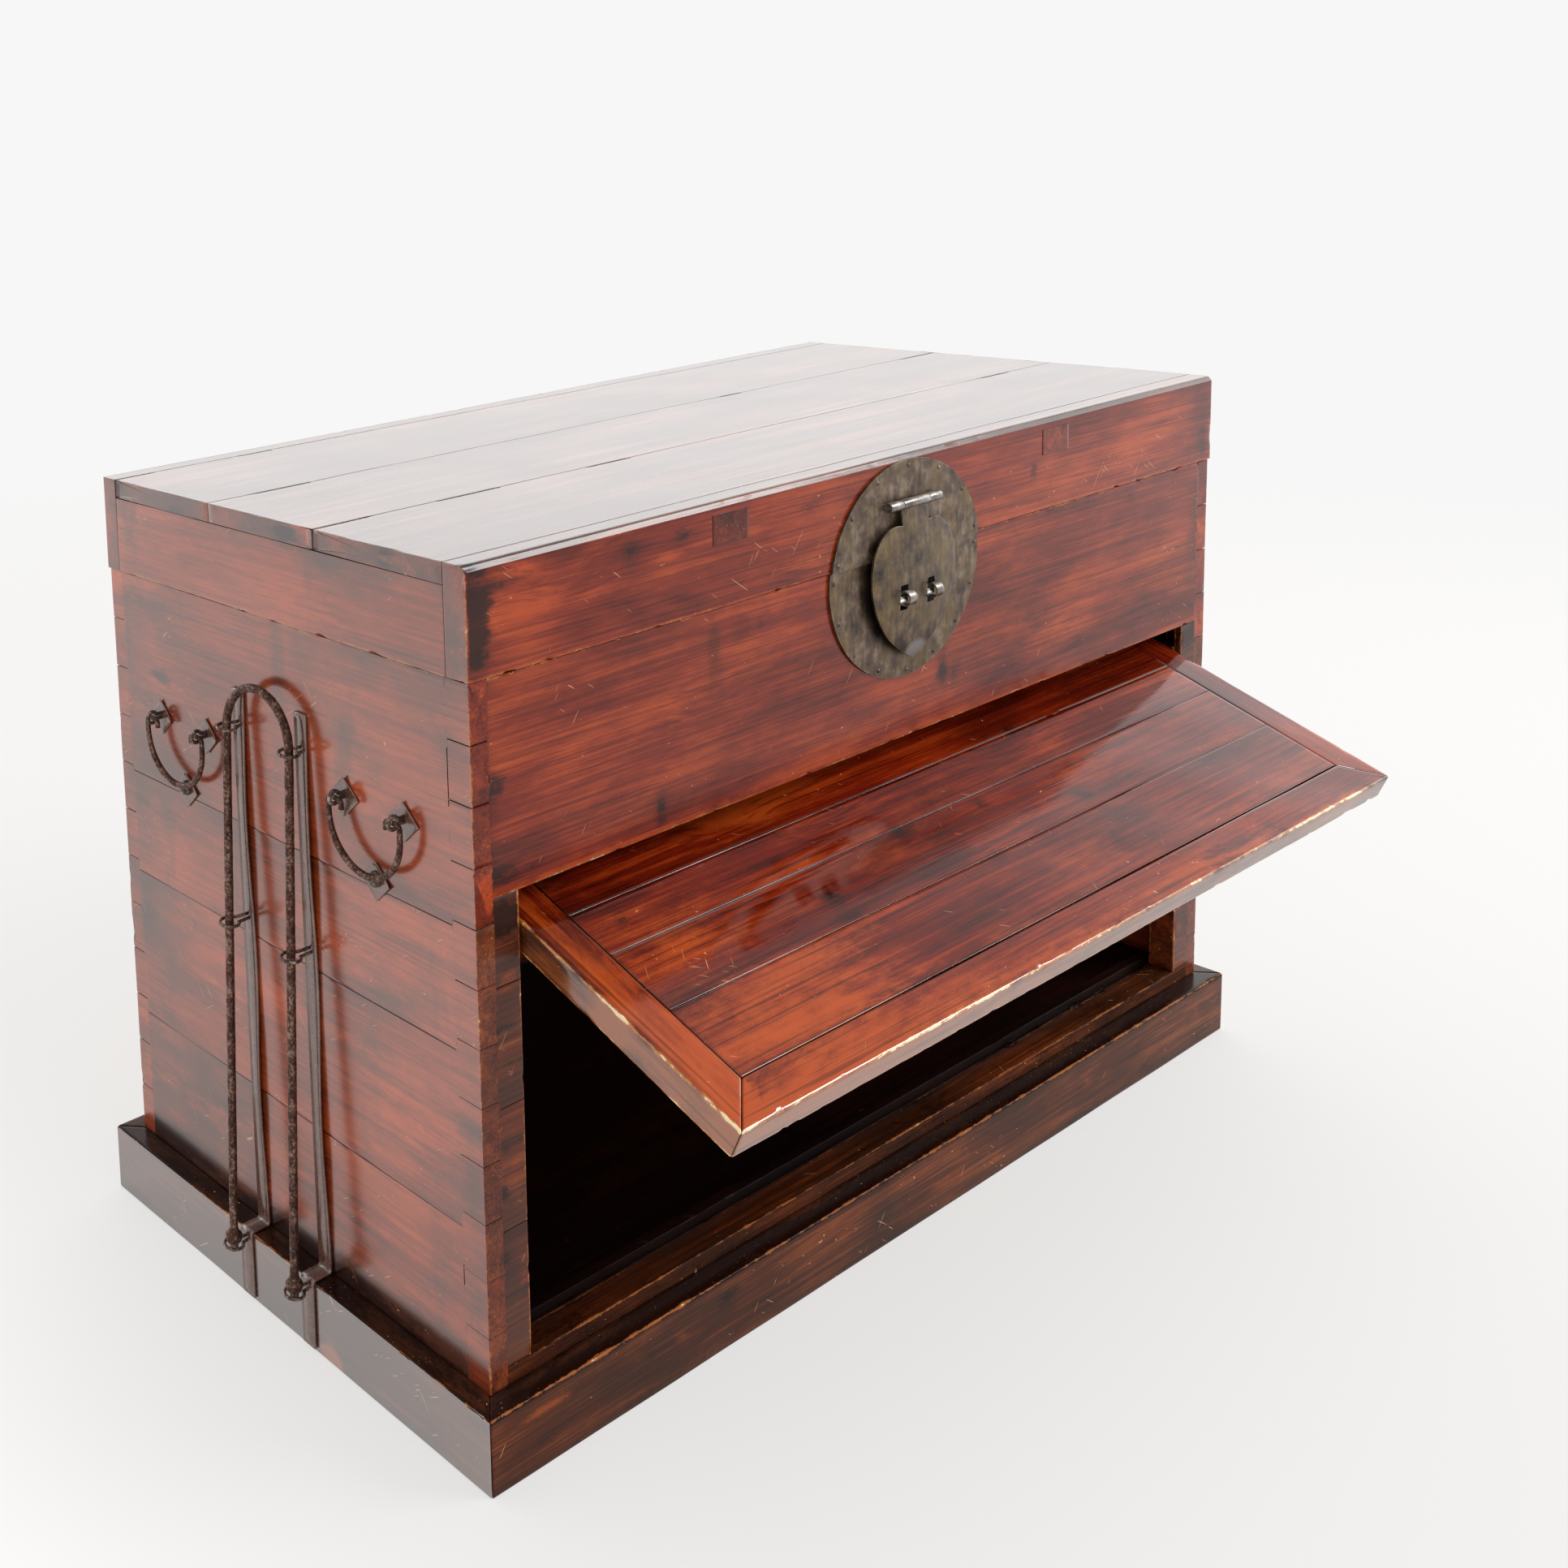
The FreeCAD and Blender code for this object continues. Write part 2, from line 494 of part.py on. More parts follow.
for label, piece in (("flap_rail_top", upper), ("flap_stile_left", stiles[0]), ("flap_stile_right", stiles[1])):
    rounded = doc.addObject("Part::MultiCommon", label + "_rounded")
    rounded.Shapes = [piece, envelope]
    hang(cut(label + "_bored", rounded, pin_holes), label)
hang(bottom, "flap_rail_bottom")
seams = ["flap_rail", "seam_a", "seam_b", "seam_c", "flap_drop + flap_t / 2 - flap_rail"]
for k in range(4):
    plank = tie(doc.addObject("Part::Box", "flap_plank_%d" % k), Length="flap_w - 2 * flap_stile",
                Width="flap_t - plank_less", Height=seams[k + 1] + " - " + seams[k])
    # planks sit between the stiles, their inner faces a little back from the frame's
    tie(plank, Placement__Base__x="-1 * flap_w / 2 + flap_stile", Placement__Base__y="-1 * flap_t / 2",
        Placement__Base__z="-1 * flap_drop + " + seams[k])
    hang(plank, "flap_plank_%d" % (k + 1))

pins = [rod("flap_pin_" + side, "x", "-1 * pin_out" if s < 0 else "pin_in", "pin_y", "pin_z", "pin_r",
            "pin_out - pin_in") for side, sign, s in SIDES]
node(group("flap_pin_pair", pins), "flap_pins")


# ---------------------------------------------------------------- sliding handles, straps, eyes
def torus(name, radius, wire, turn, angle=360):
    ring = tie(doc.addObject("Part::Torus", name), Radius1=radius, Radius2=wire)
    ring.Angle3 = angle
    ring.Placement.Rotation = turn
    return ring


straps = []
eyes = []
for side, sign, s in SIDES:
    parts = []
    arch = torus("arch_" + side, "leg_y", "rod_r", FreeCAD.Rotation(V(0, 0, 1), 90)
                 * FreeCAD.Rotation(V(1, 0, 0), 90), 180)
    parts.append(arch)
    for k, y in enumerate(("leg_y", "-1 * leg_y")):
        for tag, z, radius, length in (("leg", "-1 * leg_len", "rod_r", "leg_len"),
                                       ("head", "-1 * leg_len", "head_r", "head_h"),
                                       ("tail", "-1 * leg_len - tail_len", "rod_r", "tail_len")):
            bar = tie(doc.addObject("Part::Cylinder", "%s_%s_%d" % (tag, side, k)), Radius=radius, Height=length)
            parts.append(tie(bar, Placement__Base__y=y, Placement__Base__z=z))
    handle = fuse("handle_" + side, parts)
    handle.Placement.Rotation = FreeCAD.Rotation(V(0, 1, 0), -s * size("rod_lean"))
    node(place(handle, "%s1 * ( case_w / 2 + arch_out )" % sign, "0", "arch_z"), "handle_" + side)
    for k, y in enumerate(("leg_y", "-1 * leg_y")):
        y0 = y + " - strap_w / 2"
        tag = "strap_%s_%d" % (side, k)
        wall = ("-1 * case_w / 2 - strap_t", "-1 * plinth_w / 2 - strap_t") if s < 0 else (
            "case_w / 2", "case_w / 2")
        low = "-1 * plinth_w / 2 - strap_t" if s < 0 else "plinth_w / 2"
        straps.append(fuse(tag, [
            box(tag + "_wall", wall[0], y0, "plinth_h", "strap_t", "strap_w", "strap_top - plinth_h"),
            box(tag + "_ledge", wall[1], y0, "plinth_h", "( plinth_w - case_w ) / 2 + strap_t",
                "strap_w", "strap_t"),
            box(tag + "_foot", low, y0, "strap_foot", "strap_t", "strap_w",
                "plinth_h + strap_t - strap_foot")]))
        for j, z in enumerate(("eye_high", "eye_mid", "eye_low")):
            tag = "eye_%s_%d_%d" % (side, k, j)
            lean = "arch_out + ( arch_z - " + z + " ) * tan( rod_lean * 1 deg )"
            ring = torus(tag + "_ring", "eye_r", "eye_wire", FreeCAD.Rotation())
            place(ring, "%s1 * ( case_w / 2 + %s )" % (sign, lean), y, z)
            back = "plinth_w / 2 + strap_t" if j == 2 else "case_w / 2 + strap_t"
            start = "-1 * ( case_w / 2 + " + lean + " - eye_r )" if s < 0 else back
            shank = rod(tag + "_shank", "x", start, y, z, "eye_wire",
                        "case_w / 2 + " + lean + " - eye_r - ( " + back + " )")
            eyes.append(fuse(tag, [ring, shank]))
node(group("straps_all", straps), "handle_straps")
node(group("eyes_all", eyes), "handle_eyes")

# ---------------------------------------------------------------- drop bails, posts, plates
posts = []
plates = []
for side, sign, s in SIDES:
    wall = "%s1 * case_w / 2" % sign
    for end, y_sign in (("front", "-"), ("back", "")):
        centre = "%s1 * bail_y" % y_sign
        name = "bail_%s_%s" % (side, end)
        upright = FreeCAD.Rotation(V(0, 0, 1), 90) * FreeCAD.Rotation(V(1, 0, 0), 90)
        bow = torus(name + "_bow", "bail_half", "bail_r", upright * FreeCAD.Rotation(V(0, 0, 1), 180), 180)
        tie(bow, Placement__Base__z="-1 * bail_bend - bail_leg")
        parts = [bow]
        for k in (-1, 1):
            leg = tie(doc.addObject("Part::Cylinder", "%s_leg_%d" % (name, k + 1)), Radius="bail_r", Height="bail_leg")
            parts.append(tie(leg, Placement__Base__y="%d * bail_half" % k,
                             Placement__Base__z="-1 * bail_bend - bail_leg"))
            turn = upright * FreeCAD.Rotation(V(0, 0, 1), 0 if k > 0 else 90)
            bend = torus("%s_bend_%d" % (name, k + 1), "bail_bend", "bail_r", turn, 90)
            parts.append(tie(bend, Placement__Base__y="%d * ( bail_half - bail_bend )" % k,
                             Placement__Base__z="-1 * bail_bend"))
            stub = tie(doc.addObject("Part::Cylinder", "%s_stub_%d" % (name, k + 1)), Radius="bail_r", Height="bail_stub")
            stub.Placement.Rotation = AXES["y"]
            start = "-1 * bail_half + bail_bend" if k < 0 else "bail_half - bail_bend - bail_stub"
            parts.append(tie(stub, Placement__Base__y=start))
            # post with a flattened eye, and the diamond plate it is driven through
            tag = "%s_post_%d" % (name, k + 1)
            y_eye = centre + " + %d * bail_eye_y" % k
            out = "%s1 * ( case_w / 2 + bail_out )" % sign
            eye = rod(tag + "_eye", "y", out, y_eye + " - post_w / 2", "bail_z", "post_r", "post_w")
            x0 = "-1 * case_w / 2 - bail_out + 4" if s < 0 else "case_w / 2 + diamond_t"
            shank = rod(tag + "_shank", "x", x0, y_eye, "bail_z", "post_shank", "bail_out - diamond_t - 4")
            bore = rod(tag + "_bore", "y", out, y_eye + " - post_w", "bail_z", "post_bore", "2 * post_w")
            posts.append(fuse(tag, [cut(tag + "_ring", eye, bore), shank]))
            plate = tie(doc.addObject("Part::Prism", tag + "_plate"), Circumradius="diamond_r", Height="diamond_t")
            plate.Polygon = 4
            plate.Placement.Rotation = AXES["x"]
            x1 = "-1 * case_w / 2 - diamond_t" if s < 0 else "case_w / 2"
            plates.append(place(plate, x1, y_eye, "diamond_z"))
        bail = fuse(name, parts)
        node(place(bail, "%s1 * ( case_w / 2 + bail_out )" % sign, centre, "bail_z"), name)
        rest = tie(doc.addObject("Part::Prism", name + "_rest_plate"), Circumradius="diamond_r", Height="diamond_t")
        rest.Polygon = 4
        rest.Placement.Rotation = AXES["x"]
        place(rest, "-1 * case_w / 2 - diamond_t" if s < 0 else "case_w / 2", centre, "rest_z - 2")
        knob = dome(name + "_knob", "%s1 * ( case_w / 2 + diamond_t )" % sign, centre, "rest_z", "rest_dome",
                    FreeCAD.Rotation(V(0, 1, 0), s * 90))
        plates.append(fuse(name + "_rest", [rest, knob]))
node(group("posts_all", posts), "bail_posts")
node(group("plates_all", plates), "bail_plates")

# ---------------------------------------------------------------- write the parts
doc.recompute()
for obj in doc.Objects:
    if "Invalid" in obj.State or "Error" in obj.State:
        raise RuntimeError("%s (%s) did not recompute: %s" % (obj.Name, obj.Label, obj.State))
for obj in NODES:
    if obj.Shape.isNull() or not obj.Shape.isValid() or not obj.Shape.Solids:
        raise RuntimeError("no valid solid in " + obj.Label)
    obj.Shape.exportStep("parts/%s.step" % obj.Label)
print(len(NODES), "nodes written")
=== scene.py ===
import bpy
import numpy as np
from mathutils import Matrix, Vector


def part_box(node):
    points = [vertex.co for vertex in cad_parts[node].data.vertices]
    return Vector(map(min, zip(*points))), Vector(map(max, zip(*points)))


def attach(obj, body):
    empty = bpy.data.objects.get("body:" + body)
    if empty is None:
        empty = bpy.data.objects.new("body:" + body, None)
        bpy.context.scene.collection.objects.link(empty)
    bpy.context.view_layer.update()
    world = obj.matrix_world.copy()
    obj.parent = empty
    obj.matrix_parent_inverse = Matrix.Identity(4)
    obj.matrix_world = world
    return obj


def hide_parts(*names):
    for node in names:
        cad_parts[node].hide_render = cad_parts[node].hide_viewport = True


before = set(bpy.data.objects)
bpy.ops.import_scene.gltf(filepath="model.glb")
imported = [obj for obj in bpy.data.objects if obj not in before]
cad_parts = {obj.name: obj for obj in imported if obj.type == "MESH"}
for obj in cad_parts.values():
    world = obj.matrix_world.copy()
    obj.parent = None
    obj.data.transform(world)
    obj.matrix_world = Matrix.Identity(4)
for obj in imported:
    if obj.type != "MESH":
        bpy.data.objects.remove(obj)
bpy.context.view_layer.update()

# ---------------------------------------------------------------- plinth
# Four fir rails, 66 mm high and mitred at the corners, that the carcass stands on. Planed by hand,
# stained and lacquered brown, with the upper arris rubbed through to the wood by feet and brooms.


def linear(hex_colour):
    """Linear colour of an sRGB hex value."""
    c = np.array([int(hex_colour[i:i + 2], 16) for i in (1, 3, 5)]) / 255
    return (*np.where(c <= 0.04045, c / 12.92, ((c + 0.055) / 1.055) ** 2.4), 1.0)


def add(owner, kind, inputs=(), ramp=(), span=(), out=0, **settings):
    """Adds one node and gives its output: settings are its own, inputs are (socket, value or output
    to link) pairs, ramp holds (place, colour) stops, and span where a map comes from and goes to."""
    node = owner.node_tree.nodes.new("ShaderNode" + kind)
    for key, value in settings.items():
        setattr(node, key, value)
    for socket, value in (*inputs, *zip(("From Min", "From Max", "To Min", "To Max"), span)):
        if isinstance(value, bpy.types.NodeSocket):
            owner.node_tree.links.new(value, node.inputs[socket])
        else:
            node.inputs[socket].default_value = value
    for k, (place, hex_colour) in enumerate(ramp):
        stop = node.color_ramp.elements[k] if k < 2 else node.color_ramp.elements.new(place)
        stop.position, stop.color = place, linear(hex_colour)
    return node.outputs[out] if node.outputs else node


def blank_material(name):
    material = bpy.data.materials.new(name)
    material.use_nodes = True
    material.node_tree.nodes.clear()
    return material


def lacquered_fir(name, deep, body, light, rubbed="#b04a1c", worn="#a05c2a", pale="#dfc299", veil="#30120c",
                  veil_share=0.5, blotch=(5, 12), figure=0.85, glow=0.35, drips=0.0, crack=0.8, scuffs=0.8, rub=0.1,
                  coat=0.12, coat_ior=1.42, cupped=0.0, wave=1.0, relief=1.0):
    """Fir under old clear lacquer: growth-ring streaks 2 to 16 mm wide and some 40 cm long, knots
    about 18 mm across that push the streaks aside, cloudy veils, runs of dirt, hair scratches about
    1 mm wide (drawn as coarse as they need to show), orange where the lacquer is rubbed thin and pale
    bare wood on chipped arrises. The clear coat gives the gloss over dull wood. veil_share, glow,
    drips, crack and scuffs say how strong those films are, a greater rub leaves less bare wood, and
    wave and relief scale the ripple of the gloss; cupped, in radians, tilts it, for boards that have
    cupped away from their pins."""
    m = blank_material(name)
    grain = add(m, "Attribute", out="Vector", attribute_name="grain")
    marks = add(m, "Attribute", attribute_name="marks")
    layer = dict(zip(("wear", "dark", "thin"), add(m, "SeparateColor", [("Color", marks)]).node.outputs))
    layer["seam"] = marks.node.outputs["Alpha"]
    spread = add(m, "Mapping", [("Vector", grain), ("Scale", (3.4, 7.5, 7.5))])
    knots = add(m, "TexVoronoi", [("Vector", spread), ("Scale", 1.0)])
    layer["knot"] = add(m, "MapRange", [("Value", knots)], span=(0.1, 0.03))
    pull = add(m, "MapRange", [("Value", knots)], span=(0, 0.3, 0.012, 0), interpolation_type="SMOOTHSTEP")
    bent = add(m, "VectorMath", [(0, grain), (1, add(m, "CombineXYZ", [("Y", pull), ("Z", pull)]))], operation="ADD")
    # Cloudy layers: features per metre along and across the grain, an offset, detail and its roughness.
    for key, vector, along, across, offset, detail, rough in (
            ("rings", bent, 1.8, 85, 0, 5, 0.66), ("fibres", grain, 9, 420, 3, 3, 0.6),
            ("mottle", grain, 5, 15, 7, 5, 0.64), ("clouds", grain, *blotch, 13, 5, 0.6),
            ("patch", grain, 40, 95, 29, 4, 0.7), ("soot", grain, 9, 34, 11, 5, 0.68),
            ("streak", bent, 3.2, 230, 5, 4, 0.6), ("runs", grain, 26, 6, 43, 3, 0.5),
            ("breaks", grain, 8, 8, 41, 3, 0.6), ("scuffed", grain, 12, 16, 17, 2, 0.5),
            ("specks", grain, 190, 260, 23, 1, 0.5), ("crumbs", grain, 150, 260, 37, 3, 0.6),
            ("swell", grain, 2.4, 15, 31, 2, 0.5), ("glow", bent, 4, 17, 57, 6, 0.68)):
        placed = add(m, "Mapping", [("Vector", vector), ("Location", (offset,) * 3),
                                    ("Scale", (along, across, across))])
        layer[key] = add(m, "TexNoise", [("Vector", placed), ("Scale", 1.0), ("Detail", detail), ("Roughness", rough)])
    for key, turn, length, width, offset in (("nicks", 0.95, 0.035, 0.0016, 0.3),
                                             ("scratches", -0.6, 0.024, 0.0013, 0.7)):
        lined = add(m, "Mapping", [("Vector", grain), ("Location", (offset, offset, 0)), ("Rotation", (0, 0, turn)),
                                   ("Scale", (length, width, width))], vector_type="TEXTURE")
        layer[key] = add(m, "TexNoise", [("Vector", lined), ("Scale", 1.0), ("Detail", 1.0)])
    tone = -0.4
    for key, share in (("rings", figure), ("mottle", 1.3 - figure), ("fibres", 0.5)):
        tone = add(m, "Math", [(0, layer[key]), (1, share), (2, tone)], operation="MULTIPLY_ADD")
    colour = add(m, "ValToRGB", [("Fac", tone)], ramp=[(0.28, deep), (0.74, light), (0.5, body)])
    # Films over the wood, the lowest first: each grows with a sum of layers, from none to its most.
    chipping = (("wear", 1), ("patch", 1.25), ("crumbs", 0.9), ("breaks", 1.5))
    film = {}
    for key, tint, low, high, most, terms in (
            ("veil", veil, 0.46, 0.7, veil_share, (("clouds", 1), ("dark", 0.3), ("thin", -0.12))),
            ("runs", veil, 0.52, 0.72, drips, (("runs", 1), ("thin", -0.1))),
            ("glow", rubbed, 0.5, 0.7, glow, (("glow", 1), ("dark", -0.2))),
            ("rubbed", rubbed, 1.3, 1.9, 0.9, (("thin", 1), ("patch", 0.9), ("rings", 0.9), ("mottle", 0.3))),
            ("streak", deep, 0.52, 0.63, min(0.9 * figure, 0.8), (("streak", 1),)),
            # The soot film also follows the dark mark, so it lays down the painted shade and painted reflection on the
            # plinth's front ledge and the walls' foot.
            ("soot", "#1d0b08", 1.2, 1.5, 0.88,
             (("soot", 1.5), ("crumbs", 0.4), ("knot", 0.35), ("dark", 0.55), ("thin", -0.15))),
            ("seam", "#150706", 0.72, 1.05, crack, (("seam", 1), ("breaks", 1.3), ("patch", 0.6), ("seam", -0.95))),
            ("nicks", "#dca878", 0.985, 1.01, scuffs, (("nicks", 1), ("scuffed", 0.36))),
            ("scratches", "#e3b68c", 0.98, 1.0, scuffs, (("scratches", 1), ("scuffed", 0.36))),
            ("specks", "#d9a56f", 1.0, 1.03, scuffs, (("specks", 1), ("mottle", 0.4))),
            ("worn", worn, 2.6 + rub, 2.86 + rub, 0.92, (*chipping, ("thin", 0.1))),
            ("pale", pale, 3.08 + rub, 3.18 + rub, 1.0, (*chipping, ("thin", 0.3)))):
        total = 0.0
        for other, share in terms:
            total = add(m, "Math", [(0, layer[other]), (1, share), (2, total)], operation="MULTIPLY_ADD")
        film[key] = add(m, "MapRange", [("Value", total)], span=(low, high, 0, most), interpolation_type="SMOOTHSTEP")
        if key == "seam":
            film[key] = add(m, "Math", [(0, film[key]), (1, layer["seam"])], operation="MULTIPLY")
        colour = add(m, "Mix", [(0, film[key]), (6, colour), (7, linear(tint))], out=2, data_type="RGBA")
    # The relief of the wood, and the softer one of the coat over it, in shares of bump_high metres.
    bump_high = 0.0011
    heights = []
    for terms in (((layer["swell"], wave), (layer["rings"], 0.22), (layer["fibres"], 0.08), (film["nicks"], -0.15),
                   (film["pale"], -0.2), (film["seam"], -0.5)),
                  ((layer["swell"], 0.35 * wave), (layer["rings"], 0.07 * relief), (layer["fibres"], 0.025 * relief),
                   (film["seam"], -0.15))):
        height = 0.0
        for value, share in terms:
            height = add(m, "Math", [(0, value), (1, share), (2, height)], operation="MULTIPLY_ADD")
        heights.append(height)
    if cupped:
        place = add(m, "TexCoord", out="Object")
        inward = add(m, "VectorMath", [(0, place), (1, (0.0, 0.928, 0.371))], out="Value", operation="DOT_PRODUCT")
        heights[1] = add(m, "Math", [(0, inward), (1, -cupped / bump_high), (2, heights[1])], operation="MULTIPLY_ADD")
    skin_bump, coat_bump = (add(m, "Bump", [("Height", height), ("Strength", strength), ("Distance", bump_high)])
                            for height, strength in zip(heights, (0.6, 1.0)))
    shader = add(m, "BsdfPrincipled", [
        ("Base Color", colour), ("Roughness", 0.5), ("Specular IOR Level", 0.0), ("Normal", skin_bump),
        ("Coat Weight", 1.0), ("Coat Roughness", coat), ("Coat IOR", coat_ior), ("Coat Normal", coat_bump)])
    add(m, "OutputMaterial", [("Surface", shader)])
    return m


def ripples(points, wavelength, seed):
    """Smooth noise in -1..1: the mean of a few sine waves in random directions, in metres."""
    rng, waves = np.random.default_rng(seed), 7
    k = rng.normal(size=(waves, 3))
    k *= rng.uniform(0.6, 1.7, (waves, 1)) / np.linalg.norm(k, axis=1, keepdims=True) / wavelength
    return np.sin(2 * np.pi * points @ k.T + rng.uniform(0, 6.28, waves)).mean(-1) * waves ** 0.5 / 1.6


def closed_skin(rings, mirrored=False):
    """A skin from rings (n, m, 3) carried along a path: quads between neighbours, a fan at each end.
    Mirrored rings have their faces turned over, so that they look outwards."""
    n, m = rings.shape[:2]
    points = np.concatenate([rings.reshape(-1, 3), rings[[0, -1]].mean(1)])
    i, j = np.meshgrid(np.arange(n - 1), np.arange(m), indexing="ij")
    quads = np.stack([i * m + j, i * m + (j + 1) % m, (i + 1) * m + (j + 1) % m, (i + 1) * m + j], -1)
    around = np.arange(m)
    first = np.stack([(around + 1) % m, around, np.full(m, n * m)], -1)
    last = np.stack([around, (around + 1) % m, np.full(m, n * m + 1)], -1) + [(n - 1) * m, (n - 1) * m, 0]
    faces = quads.reshape(-1, 4).tolist() + first.tolist() + last.tolist()
    return points, [face[::-1] for face in faces] if mirrored else faces


def plank(low, high, along, seed, taper=None, arris=0.0006, nose=None, cell=0.008, warp=0.0005, chip=0.0016,
          hidden="", lined=None, crack=1.0):
    """A planed board between two corners: a rectangle with rounded arrises carried along the grain.
    A point is the board's core plus the arris radius times the direction outwards, pushed in a little
    by slow ripples, and deeper by short ones on the arrises. taper = (axis, share at low, at high)
    scales the length, which cuts mitres. nose is the radius of the upper front arris, worn flat over
    the middle 50 degrees, so that a chord carries the light. hidden names the faces against other
    boards, as x0 or z1: arrises between open faces are worn, and those beside a lined face show a
    crack, 0 to 1 dark."""
    lined = hidden if lined is None else lined
    low, high = np.array(low, float), np.array(high, float)
    size = high - low
    g = "xyz".index(along)
    b, c = sorted((i for i in range(3) if i != g), key=lambda i: -size[i])
    r = min(arris, 0.4 * size[c])

    def stations(length, step):
        inset = 0.005 if length > 0.015 else 0.3 * length
        inner = np.linspace(inset, length - inset, max(2, int(length / step)) if length > 0.015 else 2)
        edge = min(0.0022, 0.15 * length)
        return np.concatenate([[0, edge], inner, [length - edge, length]])

    k = np.array([nose or r, r, r, r])
    corners = np.array([(1, 0), (1, 1), (0, 1), (0, 0)])
    profile, turn = [], []
    for n in range(4):
        here, ahead = corners[n - 1] * size[[b, c]], corners[n] * size[[b, c]]
        span, step = np.linalg.norm(ahead - here), 1.5 * cell
        place = (stations(span - k[n - 1] - k[n], step) + k[n - 1])[:, None] / span
        fan = np.radians(90 * n - 90 + np.array([11, 61] if n == 0 and nose else [30, 60]))
        bow = ahead + k[n] * (1 - 2 * corners[n]) + k[n] * np.stack([np.cos(fan), np.sin(fan)], -1)
        if n == 0 and nose:
            bow = bow[0] + (bow[1] - bow[0]) * np.array([[0], [0.12], [0.5], [0.88], [1]])
            fan = np.radians([-79, -54, -54, -54, -29])
        profile += [here + (ahead - here) * place, bow]
        turn += [np.full(len(place), np.radians(90 * n - 90)), fan]
    profile, turn = np.concatenate(profile), np.concatenate(turn)
    sa = stations(size[g] - 2 * r, cell) + r
    bend = np.radians([0, 0, 0, 30, 60])
    reach = 0.3 + 0.7 * np.concatenate([np.sin(bend), sa * 0 + 1, np.sin(bend[::-1])])
    a_out = np.concatenate([-np.cos(bend), sa * 0, np.cos(bend[::-1])])
    a_core = np.concatenate([bend * 0 + sa[0], sa, bend * 0 + sa[-1]])
    shrink = np.ones(len(reach))
    shrink[[0, 1, -2, -1]] = 0.5, 0.9, 0.9, 0.5
    local, normal = np.empty((2, len(reach), len(turn), 3))
    local[..., g], normal[..., g] = (a_core + r * a_out)[:, None], a_out[:, None]
    for axis, outer, out in ((b, profile[:, 0], np.cos(turn)), (c, profile[:, 1], np.sin(turn))):
        core = (outer - r * out - size[axis] / 2) * shrink[:, None]
        local[..., axis] = size[axis] / 2 + core + r * reach[:, None] * out
        normal[..., axis] = reach[:, None] * out
    away = {"xyz"[k] + str(end): abs(local[..., k] - end * size[k]) for k in range(3) for end in (0, 1)}
    # Wear follows the second nearest open face and cracks the nearest lined one; nowhere is 9 m away.
    none, worn_wide, crack_wide = np.full(local.shape[:2], 9.0), 0.0045, 0.0012
    open_faces = np.sort([none, none] + [away[face] for face in away if face not in hidden], 0)
    wear = np.clip(1.15 - open_faces[1] / worn_wide, 0, 1)
    nearest = np.min([none] + [away[face] for face in away if face in lined], 0)
    seam = crack * np.clip(1.25 - nearest / crack_wide, 0, 1)
    push = warp * (0.5 + 0.5 * np.clip(ripples(local + low, 0.16, 7), -1, 1))
    dents = ripples(local + low, 0.022, 8) + 0.5 * ripples(local + low, 0.009, 9)
    push += chip * wear ** 2 * np.clip(dents - 0.55, 0, 1)
    rings = low + (local - normal * push[..., None])
    # Each seed takes its figure from elsewhere in the tree.
    grain = (local + low)[..., [g, b, c]] + [3.7 * (seed % 17), 0.61 * (seed % 7), 0.0]
    if taper:
        axis, at_low, at_high = taper
        t = local[..., axis] / size[axis]
        middle = (low[g] + high[g]) / 2
        rings[..., g] = middle + (rings[..., g] - middle) * (at_low + (at_high - at_low) * t)
    points, faces = closed_skin(rings, [g, b, c] not in ([0, 1, 2], [1, 2, 0], [2, 0, 1]))
    ends = np.concatenate([grain.reshape(-1, 3), grain[[0, -1]].mean(1)])
    return points, faces, np.append(wear, [0, 0]), np.append(seam, [0, 0]), ends


def spots(u, v, table):
    """Soft oval stains: the sum of bell curves, rows of (u, v, half width, half height, depth) in mm."""
    t = np.array(table) / [1000, 1000, 1000, 1000, 1]
    return (t[:, 4] * np.exp(-((u[:, None] - t[:, 0]) / t[:, 2]) ** 2 - ((v[:, None] - t[:, 1]) / t[:, 3]) ** 2)).sum(1)


def make_piece(name, shapes, material, body, nodes=(), marks=None, skins=()):
    """One object from closed skins, each (points, faces, wear, seam, grain) or (points, faces). marks gives, for
    points, how dark the stains, painted shade and painted reflections are and how thin the lacquer is. skins holds
    (axis, finish) pairs for the faces that look along an axis and take the finish of their neighbours."""
    points = np.concatenate([s[0] for s in shapes])
    starts = np.cumsum([0] + [len(s[0]) for s in shapes])
    faces = [[v + start for v in face] for s, start in zip(shapes, starts) for face in s[1]]
    mesh = bpy.data.meshes.new(name)
    mesh.from_pydata(points.tolist(), [], faces)
    mesh.polygons.foreach_set("use_smooth", np.ones(len(faces), bool))
    if len(shapes[0]) > 2:
        wear, seam, grain = (np.concatenate([s[k] for s in shapes]) for k in (2, 3, 4))
        dark, thin = marks(points) if marks else (0, 0)
        table = np.stack([wear, dark + 0 * wear, thin + 0 * wear, seam], -1)
        for key, kind, field, values in (("grain", "FLOAT_VECTOR", "vector", grain),
                                         ("marks", "FLOAT_COLOR", "color", np.clip(table, 0, 1))):
            mesh.attributes.new(key, kind, "POINT").data.foreach_set(field, values.astype(np.float32).ravel())
    mesh.materials.append(material)
    normals = np.empty(3 * len(faces), np.float32)
    mesh.polygons.foreach_get("normal", normals)
    index = np.zeros(len(faces), np.int32)
    for k, (axis, skin) in enumerate(skins):
        mesh.materials.append(skin)
        index[abs(normals[axis::3]) > 0.55] = k + 1
    mesh.polygons.foreach_set("material_index", index)
    piece = bpy.data.objects.new(name, mesh)
    bpy.context.scene.collection.objects.link(piece)
    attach(piece, body)
    if nodes:
        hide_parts(*nodes)


